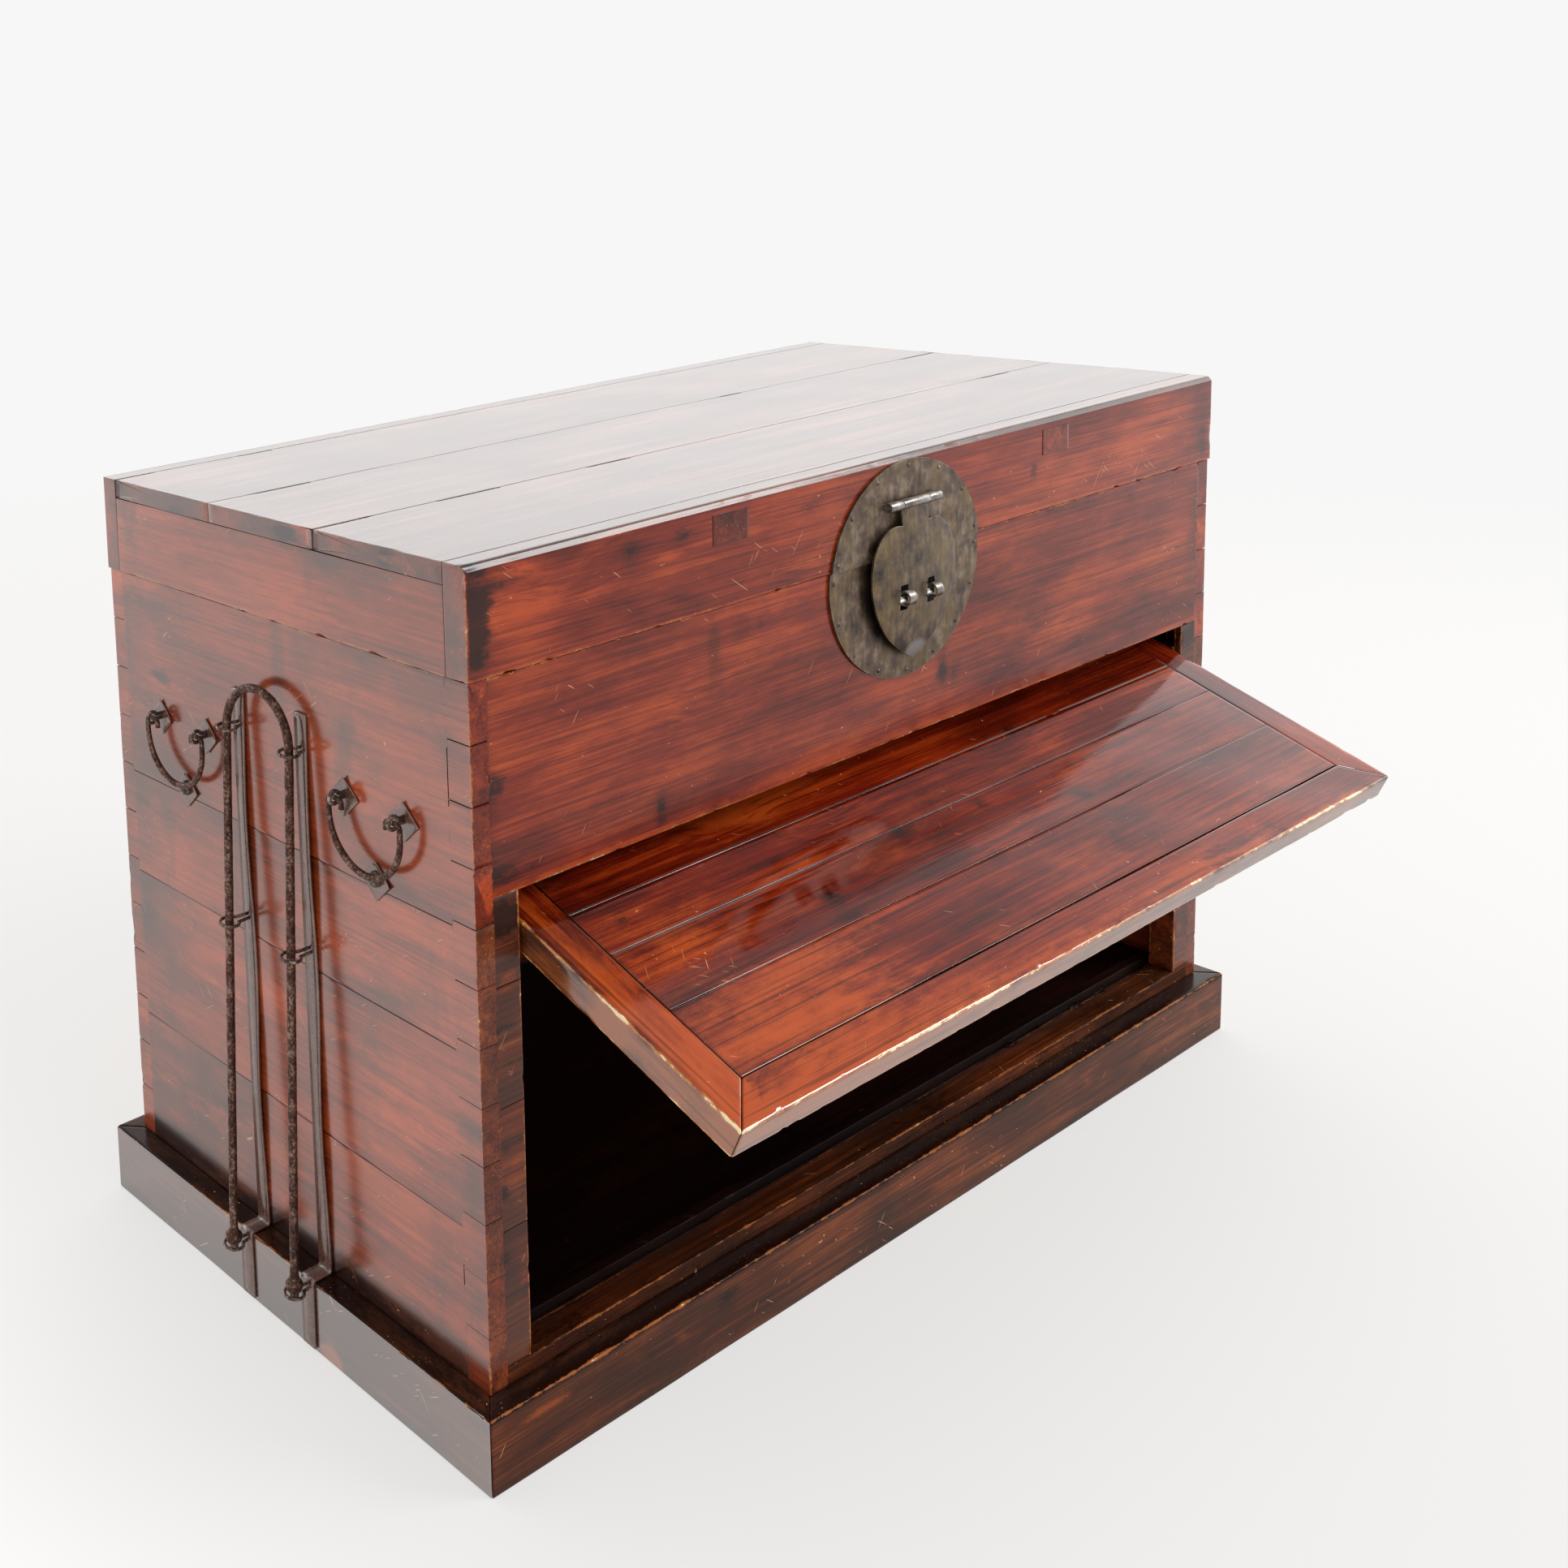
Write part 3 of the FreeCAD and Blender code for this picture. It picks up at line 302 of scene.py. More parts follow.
def board_of(node, along, seed, short=(0, 0), **how):
    """The plank that fills a CAD node's box, but for what its two ends stop short by."""
    low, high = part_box(node)
    low["xyz".index(along)] += short[0]
    high["xyz".index(along)] -= short[1]
    return plank(low, high, along, seed, **how)


plinth_fir, satin_fir = (
    lacquered_fir(name, "#2c150d", "#502410", "#864420", rubbed="#9c4a1c", veil="#2c1d12", veil_share=0.6, figure=0.5,
                  rub=0.05, coat=0.2, coat_ior=ior)
    for name, ior in (("worn_brown_lacquer_on_fir", 1.2), ("satin_brown_lacquer_on_fir", 3.4)))
rail_wide, plinth_wide, plinth_deep = 0.06, 1.122, 0.52


def plinth_marks(p):
    """Orange streaks along the front, darker towards the floor, and darkened ledges, partly dirt in their corners; the
    front ledge is nearly black, a painted shadow of the open flap and a painted reflection of the dark inside.
    """
    x, z = p[:, 0], p[:, 2]
    front = p[:, 1] < -0.16
    thin = front * spots(x, z, [
        (-500, 50, 40, 5, .8), (-340, 38, 12, 8, .5), (-115, 42, 28, 5, .9), (40, 26, 60, 4, .7),
        (120, 22, 20, 6, .6), (290, 42, 30, 12, .6), (430, 20, 60, 4, .5), (500, 45, 50, 14, .6)])
    thin += spots(p[:, 1], z, [(20, 7, 13, 10, 1.8)]) * (x < -0.56)
    dark = 0.1 + 0.5 * np.clip(1 - z / 0.02, 0, 1)
    dark += front * spots(x, z, [(-280, 44, 20, 14, .7), (-60, 35, 20, 8, .5)])
    # The ledge tops are darkened; the extra dark on the front ledge is painted shade and a painted reflection of the
    # dark open chest.
    return dark + (z > 0.064) * (0.7 + 0.6 * front), thin


for side, along, length, axis, outer_first, finish in (
        ("front", "x", plinth_wide, 1, True, plinth_fir), ("back", "x", plinth_wide, 1, False, plinth_fir),
        ("left", "y", plinth_deep, 0, True, satin_fir), ("right", "y", plinth_deep, 0, False, satin_fir)):
    inner = (length - 2 * rail_wide) / length
    shares = (axis, 1, inner) if outer_first else (axis, inner, 1)
    rail = board_of("plinth_" + side, along, 5 + len(side), taper=shares, arris=0.0018, chip=0.0022, cell=0.006,
                    hidden=along + "0" + along + "1" + "z0")
    make_piece("rail_" + side, [rail], finish, "chest", ["plinth_" + side], plinth_marks,
               [(2, plinth_fir)])

# ---------------------------------------------------------------- walls
# Wide fir boards, 20 mm at the ends and the back, 26 mm in front, finger-jointed at the corners with
# twelve rows of fingers. Edge-jointed boards have moved a little, so each seam is a fine dark line.
case_low, case_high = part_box("side_left_1")[0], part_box("back_2")[1]
middle_y = (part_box("plinth_front")[0].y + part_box("plinth_back")[1].y) / 2
side_thick, front_thick, rows = 0.020, 0.026, 12
half_w, half_d, front_y = 0.540, 0.240, -0.151
foot, rim = case_low.z, case_high.z
row_high = (rim - foot) / rows
side_fir, back_fir = (
    lacquered_fir(name, "#541f0f", "#8a3717", "#ac4a20", rubbed="#bc5026", veil="#482b20", veil_share=share,
                  blotch=cloud, figure=0.3, glow=0.7, drips=0.55, scuffs=0.5, rub=0.12, coat=0.2, coat_ior=ior)
    for name, ior, share, cloud in (("satin_lacquer_on_fir", 2.15, 0.9, (4, 8)),
                                    ("unrubbed_satin_lacquer_on_fir", 1.75, 0.6, (7, 20))))
front_fir = lacquered_fir("gloss_lacquer_on_fir", "#470f0a", "#7c2a17", "#ae4b20", rubbed="#a8441e", figure=0.42,
                          glow=0.42, scuffs=0.55, coat=0.12, coat_ior=1.34)


def wall_marks(p):
    """Black-brown along the foot, partly dirt and partly a painted reflection of the dark ledge below; greyer towards
    the back, redder in front and low down.
    """
    y, z = p[:, 1], p[:, 2]
    # The dark band at the foot is partly dirt, partly a painted reflection of the ledge.
    dark = 1.1 * np.exp(-((z - foot) / 0.022) ** 2) + 0.25 * np.clip((y - 0.12) / 0.1, 0, 1)
    dark += 0.35 * np.exp(-((y - front_y) / 0.012) ** 2)
    return dark, spots(y, z, [(-60, 380, 70, 60, .35), (-60, 250, 70, 60, .4), (-40, 150, 80, 40, .35),
                              (200, 280, 60, 30, .3), (220, 230, 60, 30, .2), (0, 620, 100, 30, .3)])


def case_finger_marks(p):
    """The corner is rubbed orange down its arris, with a knob of dirt; every other finger is darker."""
    row = np.floor((p[:, 2] - foot) / row_high)
    front = p[:, 1] < -0.1505
    knob = spots(p[:, 0], p[:, 2], [(-538, 583, 7, 6, 3), (-528, 565, 8, 40, .4)])
    orange = front * (0.05 + 0.1 * (row % 2 == 0) + 0.5 * (p[:, 2] > 0.46) +
                      0.2 * np.exp(-((abs(p[:, 0]) - half_w) / 0.006) ** 2))
    return front * knob + front * (0.05 + 0.08 * (row % 2)), orange


seam_levels, tucked = (0.197, 0.345, 0.447), 0.002
for side, sign in (("left", -1), ("right", 1)):
    for k in range(1, 5):
        node = "side_%s_%d" % (side, k)
        wall = board_of(node, "y", 20 + k + 4 * sign, (front_thick - tucked, side_thick - tucked),
                        hidden="y0y1z0" + ("" if k == 4 else "z1"), lined="z0z1", crack=0.6)
        make_piece("end_wall_%s_%d" % (side, k), [wall], side_fir, "chest", [node], wall_marks)
for k in (1, 2):
    wall = board_of("back_%d" % k, "x", 40 + k, (side_thick - tucked,) * 2,
                    hidden="x0x1z0" + ("" if k == 2 else "z1"))
    make_piece("back_board_%d" % k, [wall], back_fir, "chest", ["back_%d" % k],
               lambda p: (0.5 * np.exp(-(p[:, 2] - foot) / 0.05), 0))

# The fingers' seeds are those of the end walls, so the grain runs out through the corners.
fingers = {"lower": [], "upper": [], "back": []}
for row in range(rows):
    z0, z1 = foot + row * row_high, foot + (row + 1) * row_high
    middle = (z0 + z1) / 2
    board = 1 + int(np.searchsorted(seam_levels, middle))
    for sign_x in (-1, 1):
        for sign_y, thick in ((-1, front_thick), (1, side_thick)):
            x = sorted((sign_x * half_w, sign_x * (half_w - side_thick)))
            y = sorted((middle_y + sign_y * half_d, middle_y + sign_y * (half_d - thick)))
            inner = "x%dy%dz0z1" % (sign_x < 0, sign_y < 0)
            fingers["back" if sign_y > 0 else "upper" if row > 7 else "lower"].append(
                plank((x[0], y[0], z0), (x[1], y[1], z1), "y", 20 + board + 4 * sign_x, cell=0.006, arris=0.0005,
                      hidden=inner, lined="z0z1", crack=0.45))
stile_fir = lacquered_fir("dull_lacquer_on_fir", "#32140c", "#6c2e16", "#9c5226", veil="#38221a", veil_share=0.7,
                          figure=0.5, scuffs=0.5, rub=0.05, coat=0.22, coat_ior=1.33)
for part, finish in (("lower", stile_fir), ("upper", front_fir), ("back", side_fir)):
    make_piece("corner_fingers_" + part, fingers[part], finish, "chest", (), case_finger_marks,
               [(0, side_fir)])

# ---------------------------------------------------------------- front
# A broad header board over the opening, a low sill under it, and stiles built up of four short
# boards each side. The header's lower arris is rubbed orange where the flap swings past.
open_half = 0.494


def header_marks(p):
    """Knots with upright smears, a cracked and blackened left end, and an orange lower arris."""
    x, z = p[:, 0], p[:, 2]
    dark = spots(x, z, [
        (-525, 560, 12, 70, .5), (-510, 562, 14, 14, .5), (-515, 510, 28, 3, .9), (-515, 488, 25, 12, .6),
        (-262, 612, 8, 24, .8), (-204, 620, 8, 6, .8), (-150, 580, 50, 6, .6), (-330, 488, 6, 16, .9),
        (60, 525, 7, 22, .8), (80, 512, 10, 10, .5), (140, 492, 22, 8, .5), (186, 616, 14, 10, .4),
        (386, 629, 12, 8, .6), (520, 560, 16, 90, .5), (500, 490, 40, 10, .6), (-420, 600, 60, 15, .25),
        (300, 510, 80, 8, .2), (395, 485, 25, 10, .4), (-60, 560, 90, 8, .25)])
    thin = 0.6 * np.exp(-((z - 0.471) / 0.009) ** 2) * (x < 0.3) + spots(
        x, z, [(-200, 636, 90, 9, .5), (-60, 500, 120, 9, .45), (-170, 605, 60, 22, .35), (150, 600, 60, 30, .2)])
    return dark + 0.8 * np.exp(-((z - 0.5045) / 0.0016) ** 2) * (0.4 + 0.6 * (x > 0)), thin


def stile_marks(p):
    """Browner and dirtier than the header, with dark saw marks and a rubbed orange inner arris."""
    x, z = -abs(p[:, 0]), p[:, 2]
    dark = 0.2 + 0.3 * (z > 0.4) + spots(x, z, [
        (-515, 365, 20, 4, .9), (-505, 337, 20, 3, .8), (-515, 265, 8, 6, .6), (-520, 230, 8, 10, .5),
        (-520, 198, 6, 6, .6), (-518, 178, 6, 6, .6), (-520, 132, 8, 10, .5), (-515, 310, 15, 6, .5),
        (-515, 455, 30, 12, .5)])
    return dark, spots(x, z, [(-505, 400, 15, 16, .5), (-505, 250, 12, 12, .5), (-500, 150, 12, 30, .4)])


outer = half_w - side_thick + tucked
for node, name, finish, seed, marks, how in (
        ("header_board", "header_front", front_fir, 61, header_marks, {"cell": 0.005, "hidden": "x0x1", "crack": 0.3}),
        ("sill", "sill_front", plinth_fir, 62, lambda p: (0.5, 0.2), {"hidden": "x0x1z0"})):
    low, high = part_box(node)
    low.x, high.x = -outer, outer
    make_piece(name, [plank(low, high, "x", seed, **how)], finish, "chest", [node], marks)
levels = (0.081, 0.197, 0.300, 0.399, 0.471)
face, rear = middle_y - half_d, middle_y - half_d + front_thick
slab, groove_low, groove_high, groove_end = rear - 0.0185, 0.447, 0.4635, 0.5145
for side, sign in (("left", -1), ("right", 1)):
    courses = []
    # The top course is cut from behind for the flap's pin: a front slab, a board under and over the
    # groove, and its end.
    for k, inner, front, back, z0, z1 in (
            *((k, open_half, face, rear, levels[k], levels[k + 1]) for k in range(3)),
            (3, open_half, face, slab, levels[3], levels[4]), (3, open_half, slab, rear, levels[3], groove_low),
            (3, open_half, slab, rear, groove_high, levels[4]), (3, groove_end, slab, rear, groove_low, groove_high)):
        x = sorted((sign * outer, sign * inner))
        courses.append(plank((x[0], front, z0), (x[1], back, z1), "x", 70 + k, cell=0.004,
                             hidden="x%dz0z1" % (sign > 0), lined="z0z1" if back < rear or k < 3 else "", crack=0.7))
    make_piece("stile_boards_" + side, courses, stile_fir, "chest", ["stile_" + side], stile_marks)


def refinish(node, *finishes):
    """Gives a CAD node these finishes in place of its own."""
    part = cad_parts[node]
    part.data.materials.clear()
    for finish in finishes:
        part.data.materials.append(finish)
    return part


# Inside: bare fir painted nearly black, a painted shade for the dark inside of the chest, on the floor board, the strip
# that stops the flap and the two grooved runners for its pins.
shade_black_fir = lacquered_fir("inside_painted_shade_fir", "#080403", "#100706", "#1a0b08", rubbed="#2a120b", worn="#2a130c",
                         pale="#3a1d12", scuffs=0.1, rub=0.4, coat=0.4, coat_ior=1.2)
for name, node, seed in (("floor_of_case", "floor_board", 81), ("stop_strip", "flap_stop", 82)):
    make_piece(name, [board_of(node, "x", seed)], shade_black_fir, "chest", [node])
refinish("flap_runners", shade_black_fir)

# ---------------------------------------------------------------- lid
# Front, back and end boards under three wide planks, with two battens let in flush, whose ends show
# as dark patches on the front. The front's upper arris is a soft nosing that catches the light.
lid_top_fir = lacquered_fir("waxed_lacquer_on_fir", "#1e0f0a", "#4e2a1c", "#85553f", worn="#8a4c28", pale="#b98a5c",
                            figure=0.85, glow=0.0, crack=0.4, scuffs=0.3, rub=0.2, coat=0.2, coat_ior=1.52, wave=0.6,
                            relief=3.0)
end_face = half_w - 0.001


def lid_front_marks(p):
    """A blackened left end, knots, and lacquer rubbed thin along the lower arris and by a knot."""
    x, z = p[:, 0], p[:, 2]
    dark = spots(x, z, [
        (-532, 690, 16, 60, 1.3), (-505, 716, 26, 9, .8), (-362, 712, 9, 9, 1.2), (-303, 713, 14, 8, .6),
        (205, 687, 9, 9, 1.1), (-440, 727, 25, 5, .6), (-225, 700, 30, 8, .25), (-130, 715, 25, 9, .4),
        (522, 690, 18, 60, .6), (-242, 718, 30, 8, .3), (240, 717, 30, 8, .3), (330, 700, 60, 10, .25)])
    thin = 0.7 * np.exp(-((z - 0.6448) / 0.0035) ** 2) + spots(
        x, z, [(-320, 700, 30, 5, .9), (-475, 692, 45, 17, .9), (-120, 724, 80, 7, .5), (-490, 722, 30, 6, .5),
               (120, 722, 60, 6, .4), (-200, 660, 60, 8, .3)])
    end_grain = abs(x) > end_face
    return np.where(end_grain, 0.35, dark), np.where(end_grain, 0.2, thin)


def lid_end_marks(p):
    """Dirt along the top and by the front corner, and thin lacquer in the middle."""
    y, z = p[:, 1], p[:, 2]
    dark = 0.4 * np.clip((z - 0.69) / 0.02, 0, 1) + 0.3 * np.exp(-((y - front_y) / 0.02) ** 2)
    return dark, spots(y, z, [(60, 670, 100, 25, .45), (-60, 655, 60, 15, .3)])


def plank_end_marks(p):
    """The end grain has drunk more stain, and is blackest at the seams and checks."""
    return (abs(p[:, 0]) > end_face) * (0.3 + spots(p[:, 1], p[:, 2], [
        (180, 725, 6, 12, .8), (100, 725, 5, 14, .8), (60, 722, 7, 16, 1), (4, 724, 6, 12, .9), (-65, 724, 10, 12, .7),
        (300, 728, 10, 8, .6)])), 0


low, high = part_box("lid_front")
low.y += 0.0003
front_board = plank(low, high, "x", 91, nose=0.006, arris=0.001, chip=0.002, cell=0.005, hidden="y1", lined="")
make_piece("lid_front_board", [front_board], front_fir, "lid", ["lid_front"], lid_front_marks,
           [(0, side_fir), (2, lid_top_fir)])
make_piece("lid_back_board", [board_of("lid_back", "x", 92, hidden="y0", lined="")], side_fir, "lid",
           ["lid_back"], lid_end_marks, [(2, lid_top_fir)])
for side in ("left", "right"):
    make_piece("lid_end_" + side, [board_of("lid_" + side, "y", 93 + len(side), hidden="y0y1z1", lined="")], side_fir,
               "lid", ["lid_" + side], lid_end_marks)
for k in (1, 2, 3):
    top = board_of("lid_plank_%d" % k, "x", 96 + k, warp=0.0007, arris=0.0005, hidden="z0y0y1",
                   lined="y0y1" if k == 2 else "", crack=0.45)
    make_piece("lid_top_plank_%d" % k, [top], lid_top_fir, "lid", ["lid_plank_%d" % k], plank_end_marks,
               [(0, side_fir)])
low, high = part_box("lid_battens")
batten_wide = 0.046
battens = [plank((x, low.y, low.z), (x + batten_wide, high.y, high.z), "y", 101 + k, arris=0.0004, chip=0.0004,
                 hidden="x0x1z0z1", crack=0.6) for k, x in enumerate((low.x, high.x - batten_wide))]
make_piece("battens", battens, front_fir, "lid", ["lid_battens"], lambda p: (0.42, 0))

# ---------------------------------------------------------------- flap
# A mitred frame of rails and stiles round edge-jointed planks, hung on two pins inside the opening.
# It is the glossiest part, orange-red, with cracked seams and rubbed, chipped outer arrises.
bared = {"worn": "#b8702f", "pale": "#f0d9ae", "rub": -0.1}
flap_fir = lacquered_fir("bright_gloss_lacquer_on_fir", "#2e0703", "#6c1a08", "#a03a10", rubbed="#b84e18",
                         veil="#300a05", veil_share=0.6, figure=0.6, glow=0.5, scuffs=0.6, coat=0.05, coat_ior=1.39,
                         cupped=0.059, wave=0.8, **bared)
edge_fir = lacquered_fir("dirty_gloss_lacquer_on_fir", "#24100a", "#4e2717", "#7a4324", rubbed="#9a5222",
                         veil="#2c1d14", figure=0.5, scuffs=0.4, coat=0.14, coat_ior=1.95, **bared)
pin_low, pin_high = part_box("flap_pins")
pin_y, pin_z = (pin_low.y + pin_high.y) / 2, (pin_low.z + pin_high.z) / 2
flap_half, flap_drop, flap_thick, stile_wide, rail_high = 0.490, 0.370, 0.026, 0.041, 0.034
swing = np.radians(-68.2)


def flap_marks(p):
    """Knots and smears on the outer face, an orange left stile, and a rubbed foot."""
    x, v = p[:, 0], p[:, 2] + flap_drop
    dark = spots(x, v, [
        (-87, 158, 12, 8, 1), (23, 152, 9, 7, .7), (-222, 128, 14, 9, 1), (-225, 107, 22, 5, .8),
        (-90, 112, 40, 4, 1), (135, 118, 14, 7, .8), (190, 113, 50, 3, .9), (-340, 125, 10, 12, .5),
        (-145, 60, 9, 8, .8), (105, 60, 9, 7, .7), (-245, 80, 14, 10, .6), (-370, 18, 14, 10, .6),
        (-412, 186, 10, 7, .7), (-440, 205, 20, 4, 1), (370, 15, 15, 10, .4), (390, 128, 9, 6, .5),
        (-30, 100, 12, 6, .6), (270, 190, 10, 6, .5), (160, 207, 15, 10, .6), (-458, 122, 8, 5, .9),
        (-150, 207, 200, 3, .5), (-300, 110, 60, 3, .5)])
    left_stile = x < -0.449
    thin = 0.3 * left_stile * np.clip(1.2 - v / 0.3, 0.2, 1) + 0.5 * np.exp(-(v / 0.016) ** 2)
    thin += 0.25 * np.clip(-x / 0.4, 0, 1)
    thin += spots(x, v, [
        (-490, 335, 9, 22, .8), (-490, 120, 9, 14, .8), (-490, 0, 14, 10, 1.2), (-340, 50, 130, 45, .45),
        (-380, 150, 60, 20, .4), (-300, 90, 90, 10, .35), (-100, 140, 90, 8, .3)])
    return dark, thin


def hung(shape):
    """A flap board drawn shut about the pins, with its marks taken there: its top is cut to a full
    round, then it is swung open."""
    p = shape[0].copy()
    far = np.hypot(p[:, 1], p[:, 2])
    over = (p[:, 2] > 0) & (far > flap_thick / 2)
    p[over, 1:] *= (flap_thick / 2 / far[over])[:, None]
    y, z = p[:, 1].copy(), p[:, 2].copy()
    p[:, 1] = pin_y + y * np.cos(swing) - z * np.sin(swing)
    p[:, 2] = pin_z + y * np.sin(swing) + z * np.cos(swing)
    return (p, *shape[1:])


def make_flap_board(name, node, *how, **more):
    """A plank of the flap between shut corners, marked there, hung open, with dirtier edges."""
    shape = plank(*how, cell=0.005, crack=0.5, **more)
    stains = flap_marks(shape[0])
    make_piece(name, [hung(shape)], flap_fir, "flap", [node], lambda p: stains,
               [(0, edge_fir), (1, edge_fir)])


t, inner_half = flap_thick / 2, flap_half - stile_wide
narrow, stile_short = inner_half / flap_half, (flap_drop + t - 2 * rail_high) / (flap_drop + t)
knocked = {"arris": 0.0022, "chip": 0.0025}
make_flap_board("flap_bottom_rail", "flap_rail_bottom", (-flap_half, -t, -flap_drop),
                (flap_half, t, rail_high - flap_drop), "x", 111, (2, 1, narrow), hidden="x0x1z1", **knocked)
make_flap_board("flap_top_rail", "flap_rail_top", (-flap_half, -t, t - rail_high), (flap_half, t, t), "x", 112,
                (2, narrow, 1), hidden="x0x1z0")
for side, sign in (("left", -1), ("right", 1)):
    x = sorted((sign * flap_half, sign * inner_half))
    shares = (0, 1, stile_short) if sign < 0 else (0, stile_short, 1)
    make_flap_board("flap_side_stile_" + side, "flap_stile_" + side, (x[0], -t, -flap_drop), (x[1], t, t), "z",
                    114 + sign, shares, hidden="z0z1x%d" % (sign < 0), **knocked)
seams, set_back = (0.034, 0.101, 0.160, 0.204, 0.349), 0.004
for k, (foot_seam, top_seam) in enumerate(zip(seams, seams[1:]), 1):
    make_flap_board("flap_board_%d" % k, "flap_plank_%d" % k, (-inner_half, -t, foot_seam - flap_drop),
                    (inner_half, t - set_back, top_seam - flap_drop), "x", 119 + k, hidden="x0x1z0z1", arris=0.0005)

# ---------------------------------------------------------------- irons on the ends
# Forged by hand: U handles of 8 mm rod that slide in cotter-pin eyes, two bent straps behind each,
# and small drop bails. Wrought iron, brown-black with rust and rubbed grey high spots.


def wrought_iron(name, dark, rust, rubbed, rough=0.5, metal=0.7, coat=0.0):
    """Wrought iron with a thin skin of rust: pits about 2 mm wide that dull it, and grey metal where
    hands rub the high spots. coat adds the wall's satin lacquer, brushed over iron and wood alike."""
    m = blank_material(name)
    place = add(m, "TexCoord", out="Object")
    pits = add(m, "TexNoise", [("Vector", place), ("Scale", 420.0), ("Detail", 4.0)])
    patches = add(m, "TexNoise", [("Vector", place), ("Scale", 110.0), ("Detail", 3.0)])
    tone = add(m, "Mix", [(0, 0.4), (2, pits), (3, patches)])
    colour = add(m, "ValToRGB", [("Fac", tone)], ramp=[(0.4, dark), (0.62, rubbed), (0.52, rust)])
    dull = add(m, "MapRange", [("Value", tone)], span=(0.4, 0.6, rough + 0.15, rough - 0.15))
    bump = add(m, "Bump", [("Height", pits), ("Strength", 0.4), ("Distance", 0.0004)])
    shader = add(m, "BsdfPrincipled", [
        ("Base Color", colour), ("Metallic", metal), ("Roughness", dull), ("Specular IOR Level", 0.5 - 0.5 * coat),
        ("Normal", bump), ("Coat Weight", coat), ("Coat Roughness", 0.22), ("Coat IOR", 2.1)])
    add(m, "OutputMaterial", [("Surface", shader)])
    return m


def tube(path, radius, across, section):
    """A bar: circles of section sides, or a section given by its two rows of places, scaled by the
    radius at each point of the path. across lies at right angles to the plane of the path."""
    ahead = np.gradient(path, axis=0)
    ahead /= np.linalg.norm(ahead, axis=1, keepdims=True)
    first = across - (ahead @ across)[:, None] * ahead
    first /= np.linalg.norm(first, axis=1, keepdims=True)
    second = np.cross(ahead, first)
    if isinstance(section, int):
        turn = np.linspace(0, 2 * np.pi, section, endpoint=False)
        section = np.cos(turn), np.sin(turn)
    u, v = np.array(section)[:, None, :, None]
    radius = np.broadcast_to(radius, len(path))[:, None, None]
    return closed_skin(path[:, None] + radius * (u * first[:, None] + v * second[:, None]))


def sweep(*runs):
    """Joins runs of points, drops the doubled ends, and draws a straight run given as (from, to, count)."""
    joined = np.concatenate([np.linspace(*run) if isinstance(run, tuple) else run for run in runs])
    keep = np.r_[True, np.linalg.norm(np.diff(joined, axis=0), axis=1) > 1e-6]
    return joined[keep]


def arc(centre, u, v, radius, start, end, count):
    """Points round a centre, from start to end degrees, u and v spanning the plane."""
    turn = np.radians(np.linspace(start, end, count))[:, None]
    return np.asarray(centre) + radius * (np.cos(turn) * np.asarray(u) + np.sin(turn) * np.asarray(v))


def cotter(root, centre, ahead, aside, radius, apart, gap, counts, climb=0.0):
    """The path of a cotter: a leg from the root, a loop round the centre with gap degrees open on each
    side of the direction ahead, and a leg back. The legs stand apart by twice apart, and by climb."""
    loop = arc(centre, ahead, aside, radius, gap, 360 - gap, counts[1])
    loop = loop + np.linspace(1, -1, counts[1])[:, None] * climb
    off = aside * apart + climb
    return sweep((root + off, loop[0], counts[0]), loop, (loop[-1], root - off, counts[0]))


iron = wrought_iron("wrought_iron_rusty", "#36221b", "#573a2f", "#866b5e")
wire_iron = wrought_iron("burnished_iron_wire", "#41332e", "#645149", "#a3958c", 0.34)
strip_iron = wrought_iron("lacquered_strip_iron", "#4a2a20", "#603b2d", "#74493a", 0.5, 0.0, 1.0)
X, Y, Z = np.eye(3)
lean = np.radians(2.577)
rod_r, leg_y, leg_len, arch_out, arch_z = 0.004, 0.043, 0.48023, 0.0155, 0.542
foot_more, head_in, head_half, head_swell = 0.008, 0.005, 0.0052, 0.0038
for side, sign in (("left", -1), ("right", 1)):
    up = Z * np.cos(lean) - sign * X * np.sin(lean)
    top = np.array([sign * (half_w + arch_out), middle_y, arch_z])
    ends = leg_len + foot_more
    path = sweep((top - Y * leg_y - up * ends, top - Y * leg_y, 160), arc(top, -Y, up, leg_y, 0, 180, 60),
                 (top + Y * leg_y, top + Y * leg_y - up * ends, 160))
    # The rod is hammered a little uneven, and swells to a round head at each foot.
    below = -((path - top) @ up)
    head = np.exp(-(np.abs(below - leg_len + head_in) / head_half) ** 4)
    thick = rod_r * (0.965 + 0.035 * ripples(path, 0.011, 7)) + head_swell * head
    node = "handle_" + side
    make_piece("carrying_" + node, [tube(path, thick, np.cross(Y, up), 18)], iron, node, [node])

# Each eye is a cotter pin: a wire from the strap on the wall or the plinth, once round the rod, down
# by its run, and back beside itself.
ledge, ledge_z = plinth_wide / 2, 0.066
eye_r, wire_r, wire_off, wire_run, strap_out = 0.0085, 0.0015, 0.0012, 0.0016, 0.0028
eyes = []
for sign in (-1, 1):
    for y in (-leg_y, leg_y):
        for z in (0.541, 0.363, 0.060):
            out = arch_out + (arch_z - z) * np.tan(lean)
            centre = np.array([sign * (half_w + out), middle_y + y, z])
            root = centre - sign * X * (abs(centre[0]) - (half_w if z > ledge_z else ledge) - strap_out)
            path = cotter(root, centre, -sign * X, Y, eye_r, wire_off, 14, (6, 40), Z * wire_run)
            eyes.append(tube(path, wire_r, Z, 10))
make_piece("cotter_eyes", eyes, wire_iron, "chest", ["handle_eyes"])


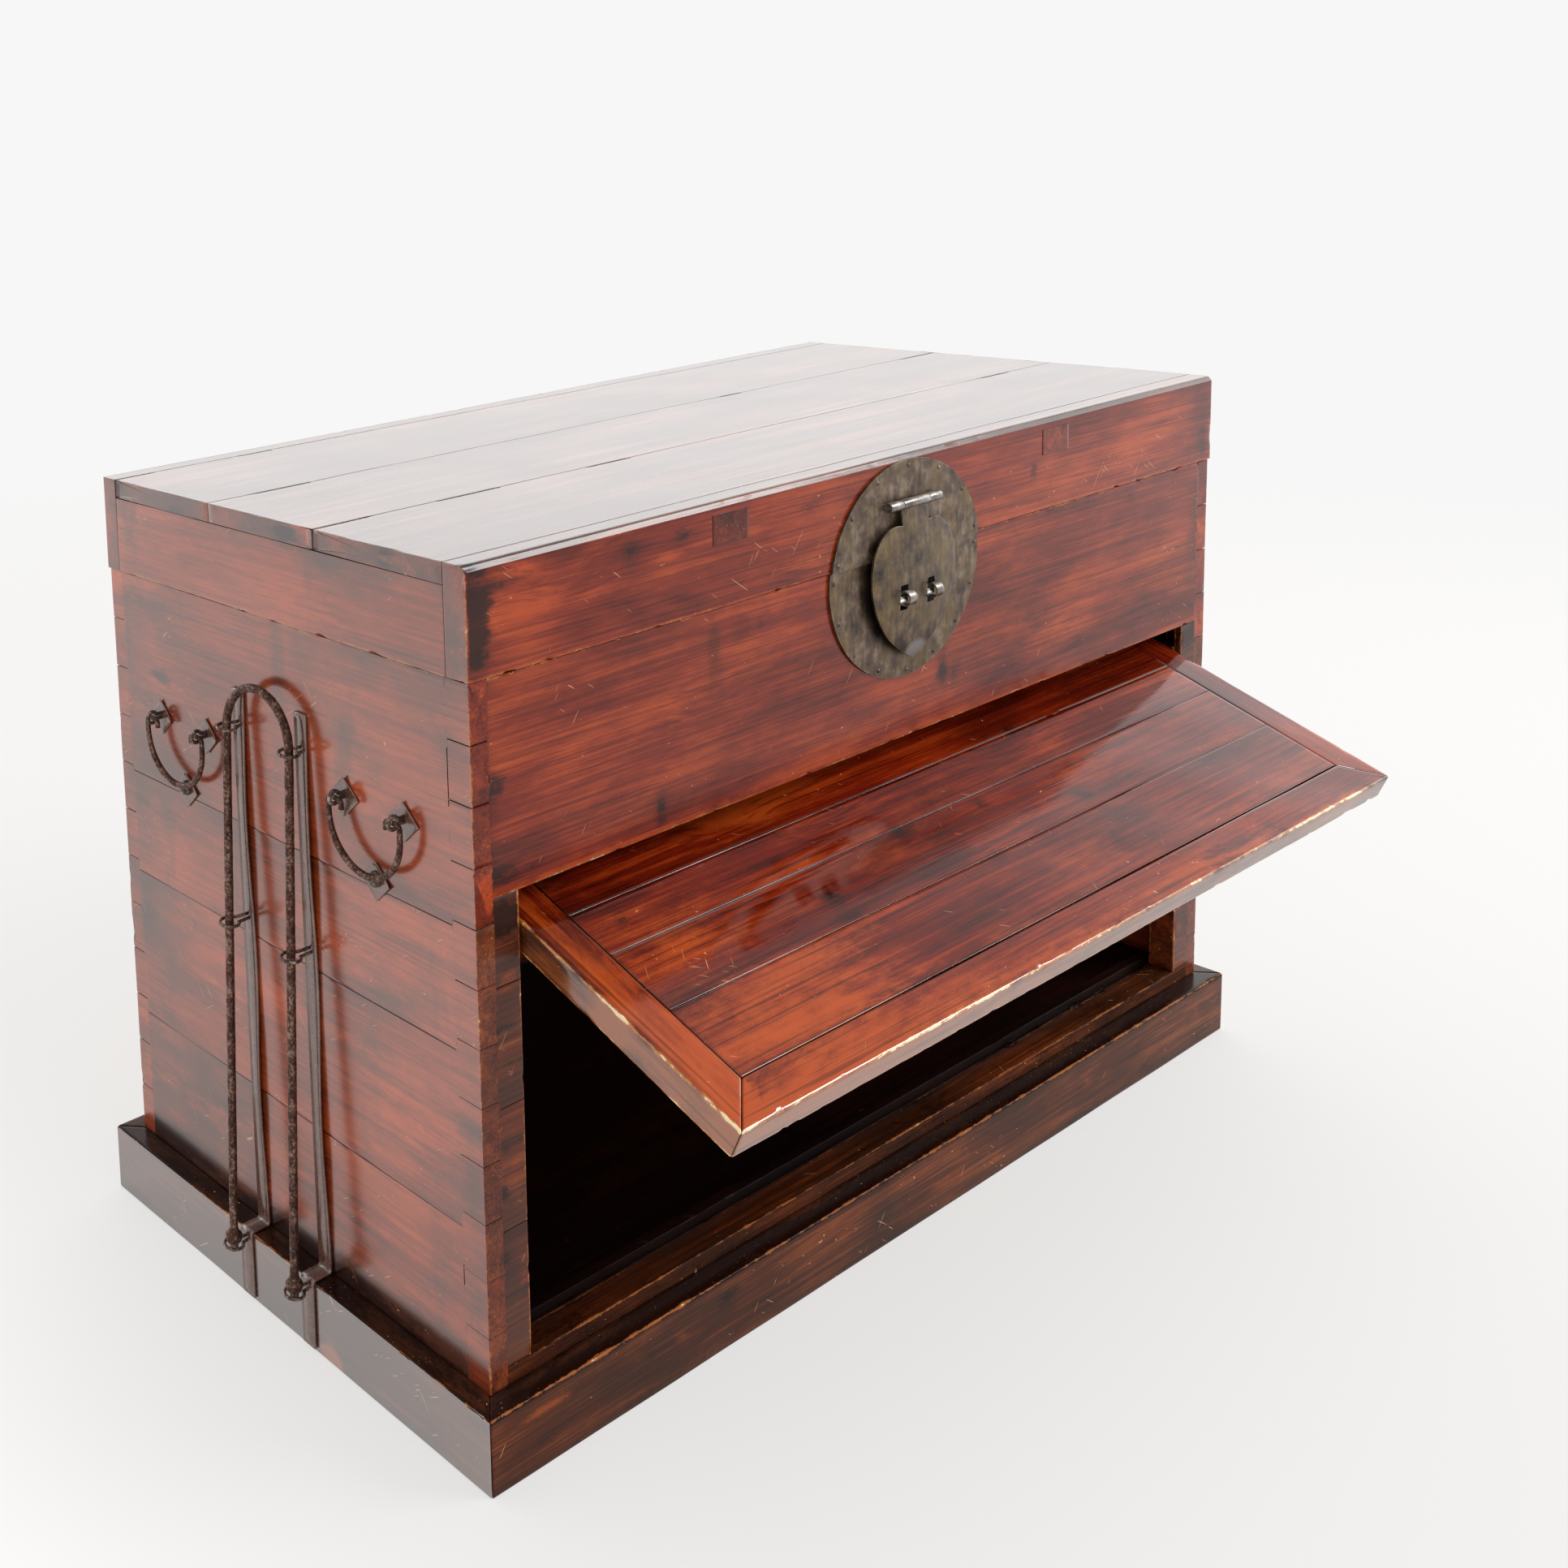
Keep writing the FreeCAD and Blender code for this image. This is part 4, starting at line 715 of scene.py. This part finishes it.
def strap(sign, y, seed):
    """A strip of iron: its section, (u, w) in half widths and thicknesses, is carried down the wall,
    over the ledge and down the plinth, and leans off the wall by an angle that swells between eyes."""
    top_z, foot_z, strap_wide, strap_thick = 0.572, 0.004, 0.017, 0.0022
    counts = on_wall, on_ledge, on_plinth = 90, 8, 14
    down = np.linspace(top_z, ledge_z + 0.0035, on_wall)
    x = np.r_[np.full(on_wall, half_w), np.linspace(half_w + 0.002, ledge - 0.001, on_ledge), np.full(on_plinth, ledge)]
    z = np.r_[down, np.full(on_ledge, ledge_z), np.linspace(ledge_z - 0.001, foot_z, on_plinth)]
    nx, nz = np.repeat([1, 0.5, 1], counts), np.repeat([0, 0.86, 0], counts)
    lift = np.radians(10) * np.sin(np.pi * (top_z - z) / 0.25) ** 2 * (z > 0.08)
    wide = strap_wide * (0.93 + 0.05 * np.sin(z * 21 + seed))
    u = np.array([-1, -1, -0.96, 0, 0.96, 1, 1, 0.96, 0, -0.96])
    w = np.array([0.3, 0.7, 1, 1, 1, 0.7, 0.3, 0, 0, 0])
    lateral = (u[None] + 1) / 2 * wide[:, None]
    out = 0.0002 + w[None] * strap_thick + lateral * np.sin(lift)[:, None]
    rings = np.stack([sign * (x[:, None] + nx[:, None] * out),
                      middle_y + y + strap_wide / 2 - lateral * np.cos(lift)[:, None],
                      z[:, None] + nz[:, None] * out], -1)
    return closed_skin(rings, sign < 0)


straps = [strap(sign, y, 2 * k + n) for k, sign in enumerate((-1, 1)) for n, y in enumerate((-leg_y, leg_y))]
make_piece("handle_straps_bent", straps, strip_iron, "chest", ["handle_straps"])

# Drop bails on cotter posts with diamond washers; each rests on a round knob.
bail_y, bail_z, bail_out, bail_half, bail_drop = 0.130, 0.517, 0.012, 0.0425, 0.0125
hook_y, hook_r, hook_end, bend_r = 0.030, 0.0035, 0.004, 0.004
post_y, ring_r, post_r, post_off = 0.035, 0.0052, 0.0018, 0.0019
washer_low, rest_low, knob_low = 0.002, 0.063, 0.061
knob_iron = wrought_iron("worn_iron_knob", "#3a3330", "#5d5048", "#8b8178", 0.36)
posts, washers, knobs = [], [], []
for side, sign in (("left", -1), ("right", 1)):
    for end, end_sign in (("front", -1), ("back", 1)):
        pivot = np.array([sign * (half_w + bail_out), middle_y + end_sign * bail_y, bail_z])
        low_c, tip = pivot - Z * bail_drop, pivot + Y * (hook_y - hook_r) - Z * hook_r
        half_path = sweep(
            (tip - Z * hook_end, tip, 4),
            arc(pivot + Y * hook_y - Z * hook_r, -Y, Z, hook_r, 0, 90, 8),
            (pivot + Y * hook_y, pivot + Y * (bail_half - bend_r), 6),
            arc(pivot + Y * (bail_half - bend_r) - Z * bend_r, Z, Y, bend_r, 0, 90, 8),
            (pivot + Y * bail_half - Z * bend_r, low_c + Y * bail_half, 5),
            arc(low_c, Y, -Z, bail_half, 0, 90, 30))
        # Both halves are joined, and the wire is thicker towards the middle of the drop.
        mirror = half_path * [1, -1, 1] + [0, 2 * pivot[1], 0]
        path = sweep(half_path, mirror[::-1])
        thick = 0.0021 + 0.0008 * np.clip((pivot[2] - path[:, 2]) / 0.045, 0, 1) ** 0.6
        node = "bail_%s_%s" % (side, end)
        make_piece("drop_" + node, [tube(path, thick, X, 12)], iron, node, [node])
        for k in (-1, 1):
            eye = pivot + Y * k * post_y
            root = eye - sign * X * (bail_out - 0.001)
            posts.append(tube(cotter(root, eye, -sign * X, Z, ring_r, post_off, 24, (5, 26)), post_r, Y, 10))
            washers.append(eye - Z * washer_low)
        washers.append(pivot - Z * rest_low)
        knobs.append(pivot - Z * knob_low)
make_piece("bail_cotters", posts, wire_iron, "chest", ["bail_posts"])


def diamond(centre, seed):
    """A thin square washer set on its corner: squares of growing size, the corners bent off the wall."""
    rng, sign, radius = np.random.default_rng(seed), np.sign(centre[0]), 0.017
    turn = np.linspace(0, 2 * np.pi, 32, endpoint=False)
    edge = 1 / (abs(np.cos(turn)) + abs(np.sin(turn)))
    sizes = np.array([0.25, 0.5, 0.75, 0.97, 1, 1, 0.97, 0.6, 0.25])
    thick = np.array([1, 1, 1, 1, 0.75, 0.25, 0, 0, 0]) * 0.0011
    lift = rng.uniform(0.0003, 0.0022, 4)[(turn / (np.pi / 2) + 0.5).astype(int) % 4]
    r = sizes[:, None] * edge * radius
    out = 0.0002 + thick[:, None] + lift * (r / radius) ** 4
    rings = np.stack([sign * (half_w + out), centre[1] + r * np.cos(turn), centre[2] + r * np.sin(turn)], -1)
    return closed_skin(rings, sign > 0)


def dome(base, out, radius, height, sides=20):
    """A round head: circles from the middle of the back, out round the rim and over to the crown."""
    out = np.asarray(out, float)
    u = np.cross(out, [0, 0, 1.0])
    v = np.cross(out, u)
    climb = np.radians([0, 0, 12, 28, 45, 62, 78])
    size, rise = radius * np.cos(climb), height * np.sin(climb)
    size[0] *= 0.5
    turn = np.linspace(0, 2 * np.pi, sides, endpoint=False)[None, :, None]
    rings = np.asarray(base) + rise[:, None, None] * out + size[:, None, None] * (np.cos(turn) * u + np.sin(turn) * v)
    return closed_skin(rings)


make_piece("diamond_washers", [diamond(c, k) for k, c in enumerate(washers)], strip_iron, "chest",
           ["bail_plates"])
knobs = [dome((np.sign(x) * (half_w + 0.0013), y, z), (np.sign(x), 0, 0), 0.0068, 0.0071) for x, y, z in knobs]
make_piece("rest_knobs", knobs, knob_iron, "chest")
dull_iron = wrought_iron("dull_rusty_hinge_iron", "#2a1a15", "#43302a", "#5f4c43", 0.55)
for node in ("hinge_leaves_lower", "hinge_leaves_upper", "hinge_pins", "flap_pins"):
    refinish(node, dull_iron)

# ---------------------------------------------------------------- lock
# Sheet brass cut to an ellipse in two parts, a peach-shaped hasp on a rolled barrel, and two rolled staples for a
# padlock. The brass has a cloudy brown-olive patina, a near-black painted shadow, partly grease, where the hasp covers
# it, and bright arrises that are a painted highlight over rubbed metal.


def patinated_brass(name, dark, body, light, olive="#75602f", rough=0.42, metal=0.6, mark=None):
    """Old sheet brass under a brown patina: cloudy patches about 15 mm wide, some of them olive, faint
    upright rubbing marks, and a mild sheen. mark, (x, z, half width, half height, tint), is an oval
    patch of another tint."""
    m = blank_material(name)
    place = add(m, "TexCoord", out="Object")
    clouds = add(m, "TexNoise", [("Vector", place), ("Scale", 70.0), ("Detail", 5.0), ("Roughness", 0.65)])
    greener = add(m, "TexNoise", [("Vector", place), ("Scale", 38.0), ("Detail", 3.0)])
    upright = add(m, "Mapping", [("Vector", place), ("Scale", (190, 190, 35))])
    rubbing = add(m, "TexNoise", [("Vector", upright), ("Scale", 1.0), ("Detail", 3.0)])
    tone = add(m, "Mix", [(0, 0.3), (2, clouds), (3, rubbing)])
    colour = add(m, "ValToRGB", [("Fac", tone)], ramp=[(0.36, dark), (0.66, light), (0.5, body)])
    share = add(m, "MapRange", [("Value", greener)], span=(0.48, 0.68, 0, 0.4))
    colour = add(m, "Mix", [(0, share), (6, colour), (7, linear(olive))], out=2, data_type="RGBA")
    if mark:
        x, z, half_wide, half_high, tint = mark
        within = add(m, "Mapping", [("Vector", place), ("Location", (-x / half_wide, 0, -z / half_high)),
                                    ("Scale", (1 / half_wide, 0, 1 / half_high))])
        away = add(m, "VectorMath", [(0, within)], out="Value", operation="LENGTH")
        share = add(m, "MapRange", [("Value", away)], span=(0.75, 1.04, 0.92, 0))
        colour = add(m, "Mix", [(0, share), (6, colour), (7, linear(tint))], out=2, data_type="RGBA")
    dull = add(m, "MapRange", [("Value", clouds)], span=(0.35, 0.65, rough - 0.06, rough + 0.08))
    bump = add(m, "Bump", [("Height", clouds), ("Strength", 0.25), ("Distance", 0.0005)])
    shader = add(m, "BsdfPrincipled", [("Base Color", colour), ("Metallic", metal), ("Roughness", dull),
                                       ("Normal", bump)])
    add(m, "OutputMaterial", [("Surface", shader)])
    return m


hasp_low, hasp_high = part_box("hasp")
# Each plate carries a near-black oval where the hasp lies over it: a painted shadow, partly grease.
upper_brass, lower_brass = (
    patinated_brass(name, "#35291f", "#5e4c3f", "#8a7a68", mark=(-0.003, hasp_low.z + 0.073, wide, high, "#080505"))
    for name, wide, high in (("sheet_brass_grease_and_painted_shadow_by_the_hanger", 0.056, 0.058),
                             ("sheet_brass_grease_and_painted_shadow_under_the_hasp", 0.067, 0.072)))
hasp_brass = patinated_brass("patinated_hasp_brass", "#302a26", "#5b4b3c", "#7f6d54",
                             mark=(0.004, hasp_low.z + 0.003, 0.019, 0.015, "#7f7c7b"))
# The arrises are pale: a painted highlight over rubbed metal.
rim_brass = patinated_brass("brass_arris_rubbed_and_painted_highlight", "#b3a48c", "#d6c8ae", "#efe6d6", "#d0c098", 0.3, 0.3)
steel = patinated_brass("rubbed_bright_iron", "#5d5753", "#827c78", "#b5b0ac", "#766f68", 0.3, 1.0)
for node, finish, rim, width in (
        ("lock_plate_upper", upper_brass, rim_brass, 0.0009), ("lock_plate_lower", lower_brass, rim_brass, 0.0009),
        ("hasp", hasp_brass, rim_brass, 0.0009), ("hasp_hanger", steel, steel, 0.0005),
        ("hasp_pin", steel, steel, 0.0003)):
    part = refinish(node, finish, rim, steel)
    weld = part.modifiers.new("weld", "WELD")
    weld.merge_threshold = 0.00002
    arris = part.modifiers.new("arris", "BEVEL")
    arris.width, arris.segments, arris.limit_method, arris.angle_limit = width, 2, "ANGLE", np.radians(40)
    # The bevel faces take the second finish: on the brass, the pale painted highlight.
    arris.material = 1
# The hasp's barrel turns against the knuckles and is rubbed bright.
leaf, barrel_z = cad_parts["hasp"].data, hasp_high.z - 0.0088
middles = np.empty(3 * len(leaf.polygons), np.float32)
leaf.polygons.foreach_get("center", middles)
leaf.polygons.foreach_set("material_index", np.where(middles[2::3] > barrel_z, 2, 0).astype(np.int32))

# Each staple is a strip 10 mm wide, bent out of the plate and rolled once round into a barrel.
staple_low, staple_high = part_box("staples")
staple_x, roll, strip_half, strip_thin, leg_off = 0.020, 0.0072, 0.0052, 0.0008, 0.0014
turn = np.linspace(0, 2 * np.pi, 24, endpoint=False)
strip_section = [half * np.sign(wave) * abs(wave) ** 0.35
                 for half, wave in ((strip_half, np.cos(turn)), (strip_thin, np.sin(turn)))]
barrels = []
for sign in (-1, 1):
    root = np.array([sign * staple_x, staple_high.y, (staple_low.z + staple_high.z) / 2])
    middle = np.array([sign * staple_x, staple_low.y + roll, root[2]])
    path = cotter(root, middle, Y, Z, roll - strip_thin, leg_off, 12, (8, 60))
    barrels.append(tube(path, 1, X, strip_section))
make_piece("staple_barrels", barrels, steel, "chest", ["staples"])

# Round nails stand a little inside the plate's rim.
plate_z, nails_rx, nails_rz = 0.630, 0.1055, 0.0945
for half, body, degrees in (("upper", "lid", np.linspace(13, 167, 7)), ("lower", "chest", np.linspace(177, 363, 9))):
    front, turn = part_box("lock_plate_" + half)[0].y, np.radians(degrees)
    heads = [dome((x, front + 0.0004, z), (0, -1, 0), 0.0021, 0.0016, 14)
             for x, z in zip(nails_rx * np.cos(turn), plate_z + nails_rz * np.sin(turn))]
    make_piece("nail_heads_" + half, heads, knob_iron, body, ["nails_" + half])

# ---------------------------------------------------------------- studio
# A pale paper floor that glows a little and fades out far away, a white room all round it and one large soft light, as
# for a catalogue.
floor_mesh, far = bpy.data.meshes.new("studio_floor"), 14
floor_mesh.from_pydata([(-far, -far, 0), (far, -far, 0), (far, far, 0), (-far, far, 0)], [], [(0, 1, 2, 3)])
paper = blank_material("glowing_matt_paper_floor")
# The floor glows to lift its shadows, and the glow is a painted pool of light, brightest to the left of the chest, as
# under a tall window.
place = add(paper, "TexCoord", out="Object")
left_of = add(paper, "VectorMath", [(0, place), (1, (-1.0, 0.1, 0.0))], out="Value", operation="DOT_PRODUCT")
lit = add(paper, "MapRange", [("Value", left_of)], span=(0.54, 1.1, 0.6, 0.76), interpolation_type="SMOOTHSTEP")
white = add(paper, "BsdfPrincipled", [
    ("Base Color", linear("#8e8d8c")), ("Roughness", 0.8), ("Specular IOR Level", 0.0),
    ("Emission Color", linear("#fffefc")), ("Emission Strength", lit)])
far_out = add(paper, "VectorMath", [(0, place)], out="Value", operation="LENGTH")
fade = add(paper, "MapRange", [("Value", far_out)], span=(1.6, 4.0), interpolation_type="SMOOTHSTEP")
faded = add(paper, "MixShader", [(0, fade), (1, white), (2, add(paper, "BsdfTransparent"))])
add(paper, "OutputMaterial", [("Surface", faded)])
floor_mesh.materials.append(paper)
studio_floor = bpy.data.objects.new("studio_floor", floor_mesh)
bpy.context.scene.collection.objects.link(studio_floor)

world = bpy.data.worlds.new("white_room")
world.use_nodes = True
world.node_tree.nodes.clear()
# Over an even light of 0.85, walls behind and to the right glow, more so higher up, but no ceiling.
toward = add(world, "TexCoord", out="Generated")
high_up = add(world, "SeparateXYZ", [("Vector", toward)], out=2)
behind = add(world, "VectorMath", [(0, toward), (1, (0.7, 0.714, 0.0))], out="Value", operation="DOT_PRODUCT")
strength = 1.0
for value, *span in ((behind, -0.1, 0.45, 0, 1), (high_up, 0.13, 0.28, 0.6, 2.1), (high_up, 0.3, 0.68, 1, 0)):
    ramp = add(world, "MapRange", [("Value", value)], span=span, interpolation_type="SMOOTHSTEP")
    strength = add(world, "Math", [(0, ramp), (1, strength)], operation="MULTIPLY")
strength = add(world, "Math", [(0, strength), (1, 0.85)], operation="ADD")
room = add(world, "Background", [("Color", (1, 1, 1, 1)), ("Strength", strength)])
backdrop = add(world, "Background", [("Color", linear("#f7f7f7")), ("Strength", 1.0)])
seen = add(world, "LightPath", out="Is Camera Ray")
add(world, "OutputWorld", [("Surface", add(world, "MixShader", [(0, seen), (1, room), (2, backdrop)]))])
bpy.context.scene.world = world

soft = bpy.data.lights.new("soft_window", "AREA")
soft.shape, soft.size, soft.size_y, soft.energy = "RECTANGLE", 2.8, 2.0, 165
window = bpy.data.objects.new("soft_window", soft)
bpy.context.scene.collection.objects.link(window)
aim, aim_at, window_off = np.array([0.62, -0.55, 0.56]), (0, 0, 0.5), 6
aim /= np.linalg.norm(aim)
across = np.cross([0, 0, 1.0], aim)
across /= np.linalg.norm(across)
window.matrix_world = Matrix([*zip(across, np.cross(aim, across), aim, aim_at + window_off * aim), (0, 0, 0, 1)])

camera_data = bpy.data.cameras.new("camera")
camera_data.sensor_width, camera_data.lens = 36, 44.8895
camera_data.clip_start, camera_data.clip_end = 0.05, 60
camera = bpy.data.objects.new("camera", camera_data)
bpy.context.scene.collection.objects.link(camera)
right, up, back = np.array([(0.83570, -0.54594, -0.05949), (0.12561, 0.08458, 0.98847), (-0.53462, -0.83354, 0.13926)])
eye_point = (-1.4374, -1.08215, 1.0774)
# A view camera with its back slid aside: the third axis leans to the slid middle, held through the
# floor as its parent.
slid_left, slid_up = 0.3802, 0.23526
slid = back - slid_left * right + slid_up * up
camera.parent = studio_floor
camera.matrix_parent_inverse = Matrix([*zip(right, up, slid / np.linalg.norm(slid), eye_point), (0, 0, 0, 1)])
bpy.context.scene.camera = camera
bpy.context.scene.view_settings.view_transform = "Standard"
